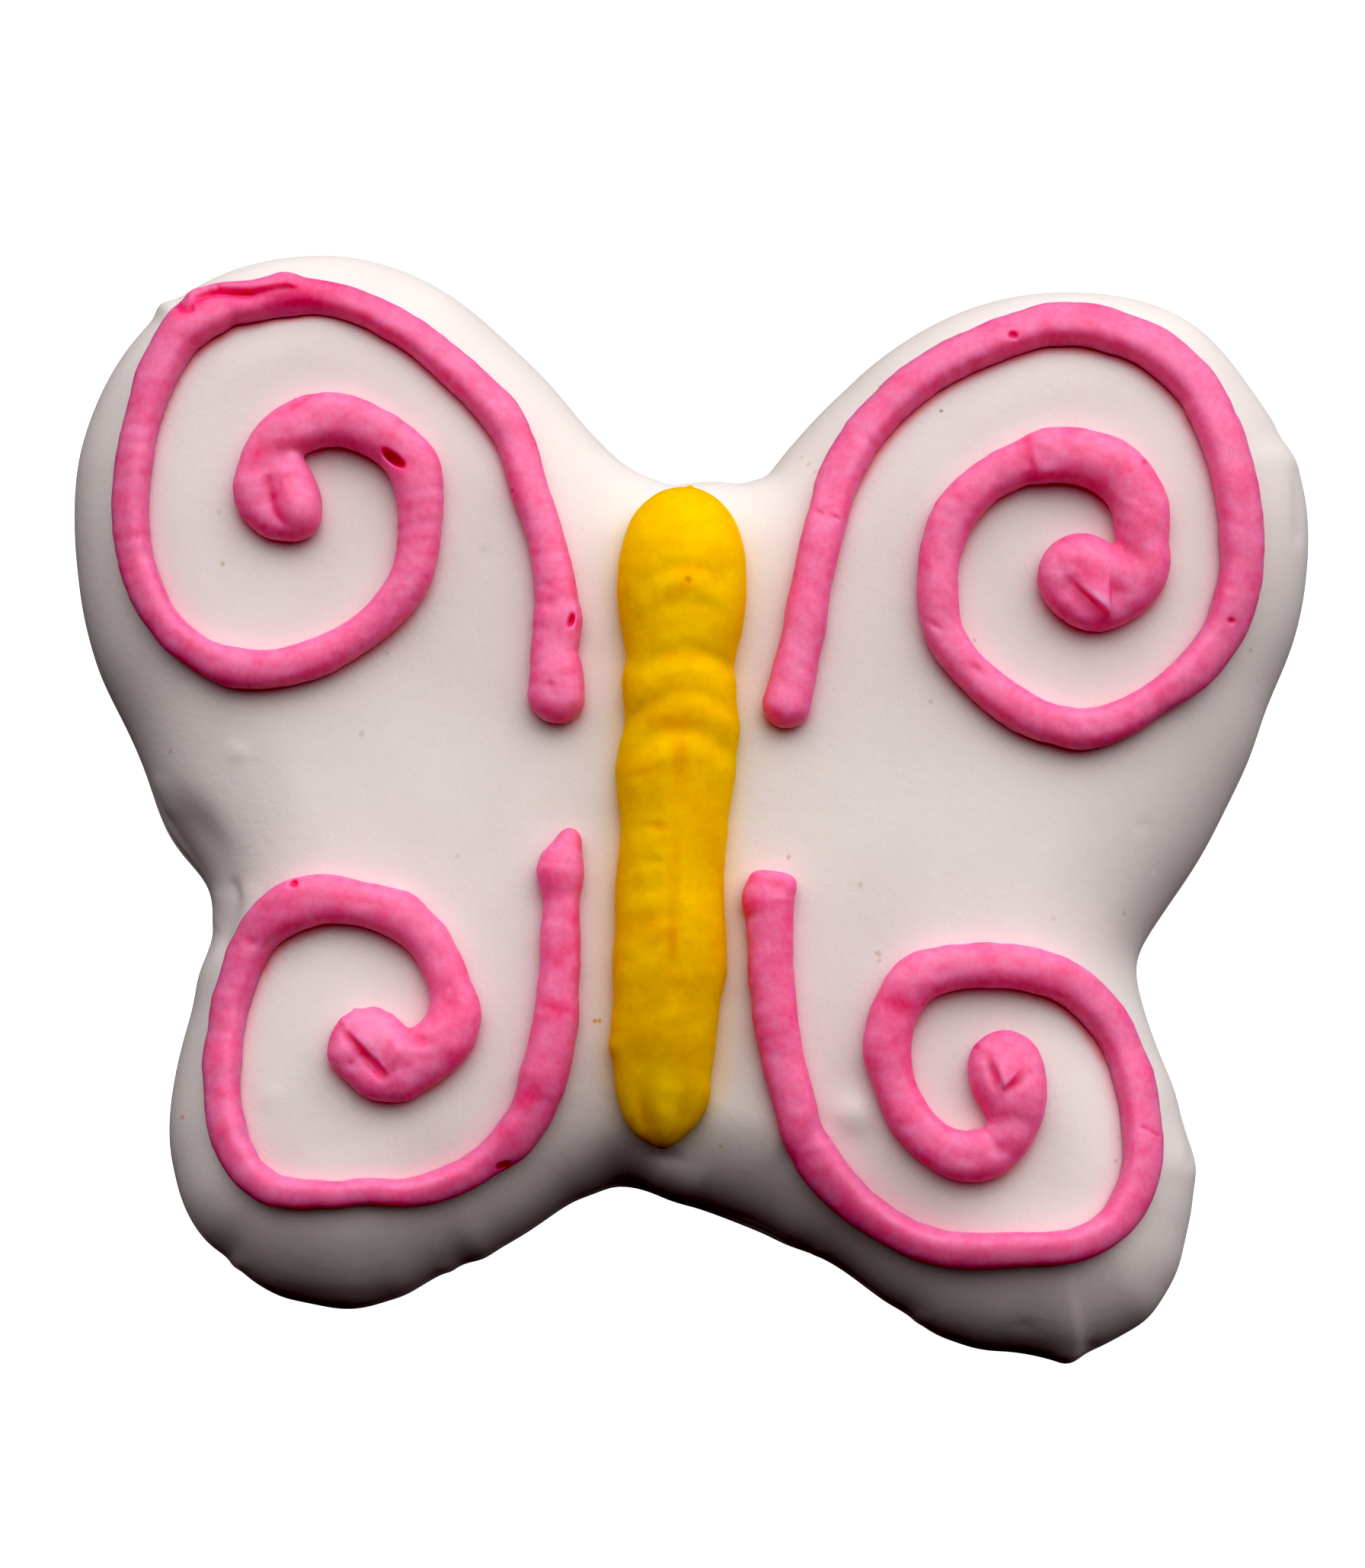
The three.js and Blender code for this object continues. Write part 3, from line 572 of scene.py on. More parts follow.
# ------------------------------------------------------------------ piped lines
TURN_STEP = 22.5
SCROLLS = {
    "scroll_fore_left": dict(
        eye=(-33.66, 22.79), start=34.9, turn=-789.0,
        reach=[1.46, 1.58, 1.80, 2.04, 2.23, 2.14, 1.91, 1.69, 1.52, 1.46, 1.54, 1.82, 2.42, 3.61, 5.15, 7.14,
               8.96, 11.04, 11.61, 12.72, 13.26, 13.83, 14.51, 13.96, 12.65, 11.76, 11.68, 12.67, 14.90, 15.68, 16.19, 16.50,
               17.54, 19.40, 22.02, 27.02, 35.63],
        width=[2.9, 3.1, 3.4, 3.8, 4.1, 4.1, 4.0, 3.8, 3.8, 3.8, 3.8, 3.7, 3.6, 3.9, 4.7, 4.8, 4.4, 4.3,
               3.5, 3.4, 3.3, 3.5, 3.6, 2.8, 2.7, 2.6, 2.7, 2.8, 3.7, 3.7, 3.0, 3.0, 3.1, 3.0, 3.0, 4.4,
               6.1],
        edge=[(79.6, -0.33, 0.02, 1.7), (83.6, 0.44, -0.04, 1.7), (86.0, 0.04, -0.21, 1.1), (88.0, -0.38, 0.11, 1.7),
              (91.2, 0.19, 0.14, 1.7), (96.4, -0.00, -0.12, 2.6), (104.0, -0.11, 0.12, 2.6), (111.6, 0.27, -0.17, 2.6),
              (117.6, -0.27, 0.29, 2.6), (125.2, 0.11, -0.12, 4.5), (128.0, 0.23, 0.11, 0.7), (130.8, -0.39, 0.06, 1.1)],
        seed=11, trim=(2.6, 0)),
    "scroll_fore_right": dict(
        eye=(31.94, 18.09), start=135.8, turn=788.0,
        reach=[1.76, 2.36, 2.65, 2.61, 2.56, 2.59, 2.52, 2.45, 2.49, 2.71, 3.10, 3.65, 4.63, 7.02, 8.98, 10.31,
               11.36, 12.45, 12.91, 13.21, 12.80, 12.74, 12.21, 10.90, 10.56, 10.70, 11.07, 12.08, 14.20, 17.69, 20.06, 20.67,
               21.33, 22.13, 22.69, 26.70, 37.96],
        width=[4.3, 4.5, 4.7, 4.7, 4.7, 4.7, 4.5, 4.2, 4.1, 4.2, 4.3, 4.3, 4.4, 4.9, 5.1, 4.8, 3.9, 3.7,
               3.2, 3.3, 3.5, 3.8, 3.7, 3.0, 3.3, 3.3, 3.2, 3.4, 3.5, 3.7, 3.9, 3.6, 3.4, 3.3, 3.1, 3.9,
               5.4],
        edge=[(24.8, 0.04, 0.18, 0.7), (27.2, -0.14, -0.21, 1.1), (52.4, 0.04, -0.13, 1.7), (57.2, -0.05, 0.20, 1.1),
              (60.8, 0.05, -0.15, 1.7), (100.8, 0.07, -0.15, 1.7), (106.4, -0.18, 0.21, 1.7), (112.4, 0.12, -0.11, 2.6),
              (122.0, -0.07, 0.11, 2.6), (130.0, 0.08, -0.13, 1.7), (134.4, -0.01, 0.13, 1.7), (140.8, -0.01, -0.15, 1.7)],
        seed=12),
    "scroll_hind_left": dict(
        eye=(-24.43, -21.38), start=66.8, turn=702.9,
        reach=[1.71, 1.86, 1.87, 1.78, 1.69, 1.58, 1.49, 1.43, 1.49, 1.75, 2.19, 2.72, 3.15, 4.58, 6.73, 8.11,
               9.84, 11.15, 12.48, 12.86, 11.72, 11.54, 12.17, 13.37, 12.42, 10.99, 11.70, 12.31, 13.35, 13.75, 15.57, 20.08,
               29.99],
        width=[3.0, 3.3, 3.4, 3.5, 3.7, 3.8, 3.6, 3.6, 3.6, 3.9, 4.4, 4.6, 4.9, 4.9, 4.6, 3.5, 3.8, 4.1,
               4.5, 3.8, 2.7, 2.8, 2.7, 2.8, 2.7, 2.4, 2.7, 2.8, 3.4, 3.6, 3.3, 3.2, 3.6],
        edge=[(20.0, -0.01, -0.23, 1.1), (24.0, 0.03, 0.36, 1.1), (28.0, -0.01, -0.25, 1.7), (32.8, 0.05, 0.29, 1.7),
              (36.4, -0.01, -0.22, 1.1), (54.0, 0.13, -0.11, 1.1), (58.0, -0.16, 0.19, 1.1), (61.6, 0.09, -0.19, 1.1),
              (77.6, -0.06, 0.17, 1.1), (88.4, 0.00, 0.18, 1.7), (96.8, -0.13, -0.09, 1.7), (99.6, 0.30, 0.28, 1.1)],
        seed=13, trim=(0, 1.6)),
    "scroll_hind_right": dict(
        eye=(25.00, -21.66), start=-107.3, turn=-830.3,
        reach=[1.90, 1.56, 1.30, 1.20, 1.20, 1.26, 1.37, 1.53, 1.69, 1.70, 1.63, 1.54, 1.52, 1.79, 2.36, 4.16,
               7.08, 7.65, 8.13, 8.66, 9.50, 9.92, 9.08, 8.36, 8.32, 8.66, 9.14, 9.85, 11.35, 13.61, 14.54, 13.78,
               14.56, 15.22, 16.05, 16.72, 18.95, 23.84],
        width=[3.5, 3.6, 3.6, 3.6, 3.6, 3.5, 3.5, 3.5, 3.6, 3.6, 3.5, 3.6, 3.7, 3.9, 4.4, 5.0, 4.2, 3.9,
               3.7, 3.5, 3.8, 4.1, 4.1, 4.0, 4.0, 3.7, 3.5, 3.0, 3.1, 2.9, 2.8, 2.9, 3.1, 3.1, 3.6, 3.5,
               3.7, 3.9],
        edge=[(11.2, -0.15, -0.95, 1.4), (12.8, -0.07, -0.37, 0.7), (30.8, -0.22, 0.07, 1.1), (33.2, 0.27, -0.03, 1.1),
              (36.8, -0.16, 0.03, 1.1), (61.6, -0.10, 0.09, 1.7), (65.6, 0.13, -0.13, 1.7), 
              (94.0, -0.01, -0.15, 1.7), (104.0, 0.11, -0.11, 1.7), (109.6, -0.31, -0.01, 1.7), (113.2, 0.37, 0.02, 0.7)],
        seed=14, cut=(1021, 1143.5, -82), trim=(8.6, 0)),
}
# mounds that fill the curls, and round off ends: picture position, radius in pixels, height in mm,
# size of the fillet, and for a long one its other radius and turn
MOUNDS = {
    "scroll_fore_left": [(387, 655, 34, 3.05, 0.7, 48, 82), (379, 617, 21, 2.7, 0.9),
                         (365, 640, 24, 2.3, 0.7, 40, 80)],
    "scroll_fore_right": [(1440, 742, 37, 2.8, 0.8), (1414, 735, 33, 2.75, 0.8), (1462, 748, 34, 2.7, 0.8)],
    "scroll_hind_left": [(488, 1380, 27, 2.4, 0.7), (497, 1362, 34, 2.8, 0.7), (520, 1376, 27, 2.8, 1.0), (747, 1098, 15, 1.9, 1.4)],
    "scroll_hind_right": [(1322, 1402, 50, 2.8, 0.8), (1324, 1424, 44, 2.7, 1.2), (1328, 1489, 31, 2.75, 0.5),
                          (1270, 1503, 14, 1.8, 1.4)],
}
# small features of the piping
SCROLL_MARKS = {
    "scroll_fore_left": [
        # the curled end: a shaded line down its left, painted deeper along it as painted shade, a little light flap
        # above, and the lobe painted paler as a painted highlight
        ("line", [(351, 620), (352, 642), (357, 663), (367, 682), (384, 698)], 7, 0.17),
        ("dent", (369, 630), (14, 19, 0), -0.2),
        ("line", [(348, 627), (354, 622), (362, 619)], 4, -0.05),
        ("stain_and_painted_shading", (360, 655), (6, 20, -12), 0.3),
        ("stain_and_painted_shading", (369, 680), (9, 6, 40), 0.3),
        ("stain_and_painted_shading", (398, 645), (18, 28, 0), -0.12),
        ("stain_and_painted_shading", (342, 592), (11, 8, -30), 0.35),
        ("stain_and_painted_shading", (336, 606), (20, 10, -60), 0.22),
        ("dent", (385, 535), (8, 4.5, -30), 0.1),
        ("stain_and_painted_shading", (385, 535), (9, 5, -30), 0.5),
        ("stain_and_painted_shading", (398, 527), (8, 3, -30), 0.3),
        ("dent", (347, 693), (4, 4, 0), 0.12),
        ("stain_and_painted_shading", (347, 693), (4, 4, 0), 0.4),
        # a pit painted crimson inside: painted shade
        ("hole", (517, 603), (15.5, 5.6, 37), 0.85),
        ("stain_and_painted_shading", (517, 603), (17, 7, 37), 1.0),
        # torn fold at the top left; its shaded flank painted deeper crimson, painted shade
        ("line", [(232, 398), (240, 407), (250, 409), (258, 404)], 4.5, 0.3),
        ("stain_and_painted_shading", (243, 407), (10, 6, 10), 0.2),
        ("line", [(254, 402), (264, 392), (277, 387), (296, 385), (321, 385), (352, 383)], 5, 0.42),
        ("lip", [(248, 404), (262, 392), (290, 383), (330, 383), (372, 377), (398, 378)], (5, 20), -0.42),
        ("dent", (385, 393), (54, 15, -2), 0.42),
        ("stain_and_painted_shading", (385, 388), (58, 22, -3), 0.6),
        ("stain_and_painted_shading", (300, 397), (62, 12, -8), 0.45),
        ("stain_and_painted_shading", (440, 400), (50, 20, 16), 0.25),
        ("dent", (374, 361), (16, 7, 0), -0.2),
        ("line", [(283, 376), (290, 384)], 3, 0.12),
        ("dent", (543, 789), (6, 5, 0), 0.12),
        ("hole", (671, 645), (4, 4, 0), 0.22),
        ("hole", (750, 815), (4, 9, 15), 0.45),
        ("dent", (667, 580), (8, 8, 0), 0.08),
        ("dent", (718, 770), (7, 7, 0), 0.1),
        ("dent", (723, 795), (6, 7, 0), 0.09),
        ("dent", (723, 901), (6, 5, 0), 0.12),
        ("stain_and_painted_shading", (723, 901), (6, 5, 0), 0.4),
        ("stain_and_painted_shading", (725, 780), (14, 30, 10), 0.25),
        ("stain_and_painted_shading", (391, 533), (26, 10, -35), 0.15),
    ],
    "scroll_fore_right": [
        # the joint where the curl's last turn starts, its crease painted deeper as painted shade
        ("line", [(1345, 566), (1349, 590), (1353, 612), (1364, 626)], 6, 0.12),
        ("stain_and_painted_shading", (1351, 598), (7, 26, -10), 0.3),
        ("dent", (1374, 622), (17, 9, 8), -0.16),
        # pulled tip: a leaf with a sharp south-west edge; the shade below that edge painted deeper and the leaf's lit
        # face painted paler, painted shade and painted highlight
        ("flap", [(1396, 754), (1457, 810), (1456, 776)], (5, 5, 30), -0.7),
        ("line", [(1388, 760), (1406, 779), (1424, 796), (1442, 811), (1460, 822)], 13, 0.2),
        ("dent", (1472, 793), (9, 18, 0), 0.1),
        ("stain_and_painted_shading", (1420, 790), (20, 10, 43), 0.2),
        ("stain_and_painted_shading", (1426, 752), (12, 22, -32), 0.2),
        ("stain_and_painted_shading", (1442, 784), (8, 22, -40), -0.4),
        ("dent", (1400, 792), (13, 12, 0), -0.08),
        ("dent", (1483, 730), (20, 15, 30), 0.2),
        ("stain_and_painted_shading", (1480, 728), (22, 13, 35), 0.5),
        ("stain_and_painted_shading", (1503, 702), (10, 9, 0), 0.35),
        ("stain_and_painted_shading", (1496, 660), (20, 40, 10), 0.2),
        ("dent", (1502, 607), (4, 4, 0), 0.12),
        ("stain_and_painted_shading", (1502, 607), (5, 4, 0), 0.6),
        ("hole", (1330, 440), (6, 4, 0), 0.35),
        ("dent", (1620, 543), (8, 8, 0), 0.14),
        ("hole", (1616, 816), (4, 4, 0), 0.22),
        ("dent", (1227, 822), (11, 4, 40), 0.12),
        ("dent", (1283, 880), (11, 6, 40), 0.18),
        ("line", [(1069, 672), (1082, 676)], 2.6, 0.12),
        ("line", [(1090, 677), (1104, 682)], 2.6, 0.12),
    ],
    "scroll_hind_left": [
        # the curled end: a dark crease with a thin light lip on its right, the crease painted deeper as painted shade
        # and the lobes beside it painted paler as a painted highlight
        ("line", [(446, 1350), (462, 1370), (479, 1389), (495, 1406), (508, 1424)], 6, 0.26),
        ("lip", [(456, 1354), (474, 1374), (492, 1392), (512, 1414)], (4, 14), -0.3),
        ("stain_and_painted_shading", (476, 1388), (9, 5, 42), 0.2),
        ("stain_and_painted_shading", (497, 1411), (10, 5, 45), 0.3),
        ("stain_and_painted_shading", (500, 1352), (26, 22, 20), -0.2),
        ("stain_and_painted_shading", (470, 1334), (20, 12, -20), -0.25),
        ("line", [(514, 1361), (521, 1379), (512, 1400)], 4.5, -0.07),
        ("stain_and_painted_shading", (510, 1376), (5, 14, 10), 0.25),
        ("stain_and_painted_shading", (459, 1397), (6, 5, 0), 0.3),
        ("dent", (459, 1397), (5, 5, 0), 0.08),
        ("dent", (551, 1367), (16, 9, 8), 0.22),
        ("stain_and_painted_shading", (551, 1367), (17, 9, 8), 0.65),
        ("dent", (589, 1324), (18, 14, 0), 0.1),
        ("stain_and_painted_shading", (589, 1324), (20, 15, 0), 0.5),
        ("stain_and_painted_shading", (600, 1345), (18, 16, 0), 0.3),
        ("dent", (462, 1318), (7, 6, 0), -0.28),
        ("dent", (490, 1322), (8, 5, 0), -0.1),
        ("dent", (476, 1327), (5, 6, 0), 0.12),
        ("dent", (450, 1341), (6, 6, 0), -0.2),
        ("dent", (505, 1330), (5, 7, 20), 0.08),
        ("hole", (386, 1161), (6, 5, 0), 0.35),
        ("dent", (330, 1237), (9, 7, 0), 0.14),
        ("stain_and_painted_shading", (330, 1237), (9, 7, 0), 0.4),
        ("hole", (661.5, 1531.5), (9, 4, -22), 0.6),
        ("stain_and_painted_shading", (661.5, 1531.5), (10, 5, -22), 1.0),
        # the straight end: shallow hollows, deeper in colour
        ("dent", (732, 1328), (16, 15, 0), 0.07),
        ("stain_and_painted_shading", (732, 1328), (17, 16, 0), 0.55),
        ("dent", (699, 1437), (22, 11, 60), 0.07),
        ("stain_and_painted_shading", (697, 1438), (26, 13, -50), 0.6),
        ("stain_and_painted_shading", (664, 1484), (20, 12, -40), 0.4),
        ("stain_and_painted_shading", (752, 1208), (7, 7, 0), 0.4),
        ("stain_and_painted_shading", (735, 1180), (12, 20, 0), 0.2),
        ("stain_and_painted_shading", (733, 1250), (20, 18, 0), 0.3),
        ("stain_and_painted_shading", (706, 1395), (12, 16, 20), 0.3),
        ("stain_and_painted_shading", (722, 1460), (10, 20, 30), 0.25),
        ("dent", (707, 1352), (12, 16, 0), -0.05),
        ("dent", (712, 1455), (14, 12, 0), -0.06),
    ],
    "scroll_hind_right": [
        # the curled end: a small light peak between two creases; the creases painted deeper as painted shade, the peak
        # painted paler as a painted highlight
        ("flap", [(1300, 1384), (1317, 1432), (1336, 1410)], (5, 6, 24), -0.34),
        ("dent", (1302, 1411), (7, 22, -16), 0.3),
        ("dent", (1333, 1427), (15, 7, -38), 0.27),
        ("stain_and_painted_shading", (1304, 1408), (6, 14, -12), 0.3),
        ("stain_and_painted_shading", (1329, 1421), (9, 6, -38), 0.3),
        ("stain_and_painted_shading", (1316, 1422), (6, 9, 0), -0.35),
        ("dent", (1282, 1375), (3.5, 3.5, 0), 0.04),
        ("stain_and_painted_shading", (1282, 1375), (4, 4, 0), 0.6),
        ("dent", (1178, 1324), (20, 18, 0), 0.17),
        ("stain_and_painted_shading", (1178, 1322), (20, 17, 0), 0.75),
        ("stain_and_painted_shading", (1196, 1400), (16, 36, -25), 0.3),
        ("line", [(1166, 1345), (1183, 1395), (1205, 1440), (1230, 1472)], 6, 0.06),
        ("line", [(1497, 1479), (1510, 1486), (1524, 1493)], 3, 0.12),
        ("dent", (983, 1205), (7, 6, 0), 0.16),
        ("dent", (978, 1258), (5, 7, 0), 0.1),
        ("dent", (981, 1290), (5, 6, 0), -0.06),
        ("stain_and_painted_shading", (990, 1185), (14, 10, 0), 0.35),
        ("stain_and_painted_shading", (1033, 1300), (14, 50, -8), 0.25),
        ("stain_and_painted_shading", (1040, 1200), (14, 20, 0), 0.3),
        ("dent", (1012, 1150), (20, 8, 0), -0.05),
        ("line", [(1043, 1148), (1043, 1175)], 5, -0.08),
        ("line", [(1000, 1150), (998, 1168)], 4, -0.05),
    ],
}
BODY_MARKS = [
    # crescent furrows over the head and shoulders, each with a fold below it
    ("arc", (898, 688), (40, 40, 18, 10), 0.02),
    ("arc", (901, 744), (60, 50, 33, 12), 0.12),
    ("hole", (903, 766), (4, 5, 0), 0.14),
    ("arc", (903, 794), (46, 46, 18, 11), 0.05),
    ("arc", (900, 855), (66, 62, 22, 13), 0.14),
    ("arc", (901, 911), (66, 62, 22, 11), 0.09),
    ("arc", (896, 962), (66, 58, 23, 15), 0.15),
    ("line", [(898, 950), (896, 985), (893, 1010), (888, 1040), (886, 1070)], 9, 0.08),
    ("line", [(886, 1050), (882, 1130), (880, 1200), (880, 1275)], 8, 0.045),
    # small dimples down the left
    ("dent", (858, 1013), (24, 7, -12), 0.05),
    ("dent", (825, 1039), (12, 9, 0), 0.04),
    ("dent", (862, 1086), (15, 6, 6), 0.1),
    ("dent", (838, 1116), (20, 13, -14), -0.06),
    ("dent", (860, 1132), (12, 6, 12), 0.06),
    ("dent", (835, 1150), (16, 9, -10), -0.03),
    ("dent", (856, 1170), (14, 6, -10), 0.05),
    ("dent", (838, 1192), (20, 13, -18), -0.06),
    ("arc", (872, 1208), (34, 14, 40, 10), 0.05),
    ("dent", (928, 1219), (12, 12, 0), 0.03),
    ("dent", (858, 1244), (20, 8, -20), 0.04),
    ("dent", (838, 1278), (24, 12, -24), -0.05),
    ("arc", (876, 1326), (48, 44, 30, 13), 0.035),
    # the tail: a nose between two hollows
    ("dent", (822, 1412), (16, 44, 8), 0.1),
    ("dent", (928, 1400), (14, 44, 4), 0.07),
    ("line", [(886, 1290), (881, 1350), (876, 1410), (872, 1470), (868, 1550)], 19, -0.26),
    ("dent", (848, 1466), (11, 40, -12), 0.27),
    ("dent", (898, 1466), (11, 38, 14), 0.2),
    # deeper colour along the seam and in the furrows and tail hollows, painted shade; paler on the nose ridge and the
    # head, painted highlight
    ("stain_and_painted_shading", (896, 860), (34, 10, 0), 0.4),
    ("stain_and_painted_shading", (888, 900), (52, 14, 0), 0.25),
    ("stain_and_painted_shading", (880, 948), (30, 12, 0), 0.55),
    ("stain_and_painted_shading", (893, 990), (12, 34, -5), 0.5),
    ("stain_and_painted_shading", (852, 1016), (24, 6, 0), 0.35),
    ("stain_and_painted_shading", (866, 1088), (14, 5, 0), 0.6),
    ("stain_and_painted_shading", (888, 1140), (9, 60, 0), 0.3),
    ("stain_and_painted_shading", (864, 1222), (34, 24, 0), 0.3),
    ("stain_and_painted_shading", (882, 1240), (8, 30, 0), 0.5),
    ("stain_and_painted_shading", (822, 1000), (10, 30, 0), 0.25),
    ("stain_and_painted_shading", (930, 1100), (22, 120, -3), 0.25),
    ("stain_and_painted_shading", (900, 1290), (40, 30, 0), 0.25),
    ("stain_and_painted_shading", (846, 1462), (8, 24, -12), 0.35),
    ("stain_and_painted_shading", (897, 1462), (8, 24, 14), 0.25),
    ("stain_and_painted_shading", (876, 1430), (14, 50, 0), -0.4),
    ("stain_and_painted_shading", (900, 665), (60, 26, 0), -0.2),
    ("stain_and_painted_shading", (903, 764), (5, 5, 0), 0.6),
    ("stain_and_painted_shading", (906, 745), (26, 8, 0), 0.3),
]
GRAINS = {"scroll_fore_left": 0.15, "scroll_fore_right": 0.156, "scroll_hind_left": 0.135,
          "scroll_hind_right": 0.138, "piped_body": 0.14}    # spacing of the fine meshes
SUNK = 0.25           # how far the piping goes down into the coating
SHADOW = 0.54         # width of the red contact shadow beside a line
SQUARE = 2.6          # how flat a piped line is on top: 2 for an ellipse, more for flatter


def line_rise(w):
    """height of a piped line, from its width"""
    return 2.4 * (w / 3.4) ** 0.55


def lobed(q, h, a, b, c):
    """signed distance, nearly, to an ellipse of half-axes a, b centred at height c"""
    k0 = np.sqrt((q / a) ** 2 + ((h - c) / b) ** 2) + 1e-9
    k1 = np.sqrt((q / a ** 2) ** 2 + ((h - c) / b ** 2) ** 2) + 1e-9
    return k0 * (k0 - 1) / k1


def piped(q, h, a, b, c, power):
    """the same for a superellipse, which is flatter on top and steeper at its sides"""
    x, y = np.abs(q) / a, np.abs(h - c) / b
    k0 = (x ** power + y ** power + 1e-9) ** (1 / power)
    k1 = np.sqrt((x ** (power - 1) / a) ** 2 + (y ** (power - 1) / b) ** 2) + 1e-6
    return (k0 - 1) * k0 ** (power - 1) / k1


def join(f, g, k):
    """union of two fields with a fillet of about k"""
    e = np.maximum(k - np.abs(f - g), 0) / k
    return np.minimum(f, g) - e * e * k * 0.25


class Scroll:
    def __init__(self, skin, mounds, marks, eye, start, turn, reach, width, edge, seed, cut=None, trim=(0, 0)):
        self.skin, self.marks, self.cut = skin, Marks(marks), cut
        deg = np.arange(0, abs(turn) + 0.25, 0.25)
        u = np.minimum(deg, abs(turn)) / TURN_STEP
        a = np.radians(start + math.copysign(1, turn) * np.minimum(deg, abs(turn)))
        r = catmull(reach, u)
        x, y, w = eye[0] + r * np.cos(a), eye[1] + r * np.sin(a), catmull(width, u)
        s = np.concatenate([[0], np.cumsum(np.hypot(np.diff(x), np.diff(y)))])
        at = np.linspace(0, s[-1], int(s[-1] / 0.2) + 1)
        x, y, w = (np.interp(at, s, v) for v in (x, y, w))
        # uneven edges: place along the line, growth of its left and right edge, spread
        p = x + 1j * y
        ahead = np.gradient(p)
        ahead /= np.abs(ahead)
        left = sum((l * np.exp(-((at - c) / q) ** 2) for c, l, _, q in edge), np.zeros(len(at)))
        right = sum((g * np.exp(-((at - c) / q) ** 2) for c, _, g, q in edge), np.zeros(len(at)))
        # what shows south of a line includes its contact shadow
        left = left - SHADOW * np.clip(-ahead.real, 0, 1) ** 1.5
        right = right - SHADOW * np.clip(ahead.real, 0, 1) ** 1.5
        p = p + 1j * ahead * (left - right) / 2
        x, y, w = p.real, p.imag, w + left + right
        kept = (at >= trim[0]) & (at <= at[-1] - trim[1])
        x, y, w, at = x[kept], y[kept], w[kept], at[kept]
        # the table is where the line shows from the camera at one height; its
        # own height differs on the rounded edge, and it stands square to that
        px, py = x.copy(), y.copy()
        for _ in range(3):
            z = skin.height(px, py) + 0.4 * line_rise(w)
            k = (EYE[2] - z) / (EYE[2] - 12.6)
            hx, hy = EYE[0] + (x - EYE[0]) * k, EYE[1] + (y - EYE[1]) * k
            gx, gy = skin.slope(px, py)
            n = 1 / np.sqrt(1 + gx * gx + gy * gy)
            up = 0.4 * line_rise(w) * n
            px, py = hx + gx * up, hy + gy * up
        self.s, self.w = at, w
        self.p = px + 1j * py
        self.mounds = mounds
        self.lumps = [(Lumps(seed, 5.5), 0.05), (Lumps(seed + 50, 1.6), 0.014)]

    def plan(self, x, y):
        """what the section needs at each place seen from above"""
        q = (x + 1j * y).ravel()
        a, n = self.p, len(self.p)
        dist, run = np.empty(len(q)), np.empty(len(q))
        away = np.empty(len(q), complex)
        for i in range(0, len(q), 8000):
            c = q[i:i + 8000]
            # nearest by its edge, so that close turns join without a step
            k = 5 * np.argmin(np.abs(c[:, None] - a[::5]) - self.w[::5] / 2, axis=1)
            k = np.clip(k[:, None] + np.arange(-5, 6), 0, n - 1)
            k = k[np.arange(len(c)), np.argmin(np.abs(c[:, None] - a[k]) - self.w[k] / 2, axis=1)]
            best = np.full(len(c), np.inf)
            for j in (np.minimum(k, n - 2), np.maximum(k - 1, 0)):
                e = a[j + 1] - a[j]
                t = np.clip(((c - a[j]) * e.conj()).real / np.abs(e) ** 2, 0, 1)
                off = c - a[j] - t * e
                d = np.abs(off)
                nearer = d < best
                best = np.where(nearer, d, best)
                away[i:i + 8000] = np.where(nearer, off, away[i:i + 8000])
                run[i:i + 8000] = np.where(nearer, self.s[j] + t * (self.s[1] - self.s[0]), run[i:i + 8000])
            dist[i:i + 8000] = best
        shape = x.shape
        away, run = away.reshape(shape), run.reshape(shape)
        gx, gy = self.skin.slope(x, y)
        rise = away.real * gx + away.imag * gy
        side = np.sqrt(np.abs(away) ** 2 + rise ** 2)
        w = np.interp(run, self.s, self.w)
        u, v = seen(self.skin.lift(x, y, 2.1))
        mounds = [(np.sqrt(oval(u, v, (mu, mv), (k[1] if k[1:] else r, r, k[2] if k[2:] else 0))) * r * PX,
                   r * PX, h, *k[:1]) for mu, mv, r, h, *k in self.mounds]
        uneven, pits = sum(g * f(x, y) for f, g in self.lumps), self.marks.depth(u, v)
        cut = None
        if self.cut:
            cu, cv, turn = self.cut
            cut = ((u - cu) * math.cos(math.radians(turn)) + (v - cv) * math.sin(math.radians(turn))) * PX
        return side, w, mounds, uneven, pits, cut

    def field(self, plan, h):
        side, w, mounds, uneven, pits, cut = plan
        rise = line_rise(w)
        f = piped(side, h, w / 2, 0.6 * rise, 0.4 * rise, SQUARE)
        for d, r, top, *k in mounds:
            f = join(f, lobed(d, h, r, 0.6 * top, 0.4 * top), k[0] if k else 0.35)
        # the marks fade out down the sides
        f = f + uneven + pits * smooth((h / rise - 0.15) / 0.45)
        if cut is not None:
            f = -join(-f, -cut, 0.6)
        return np.maximum(f, -(h + SUNK))


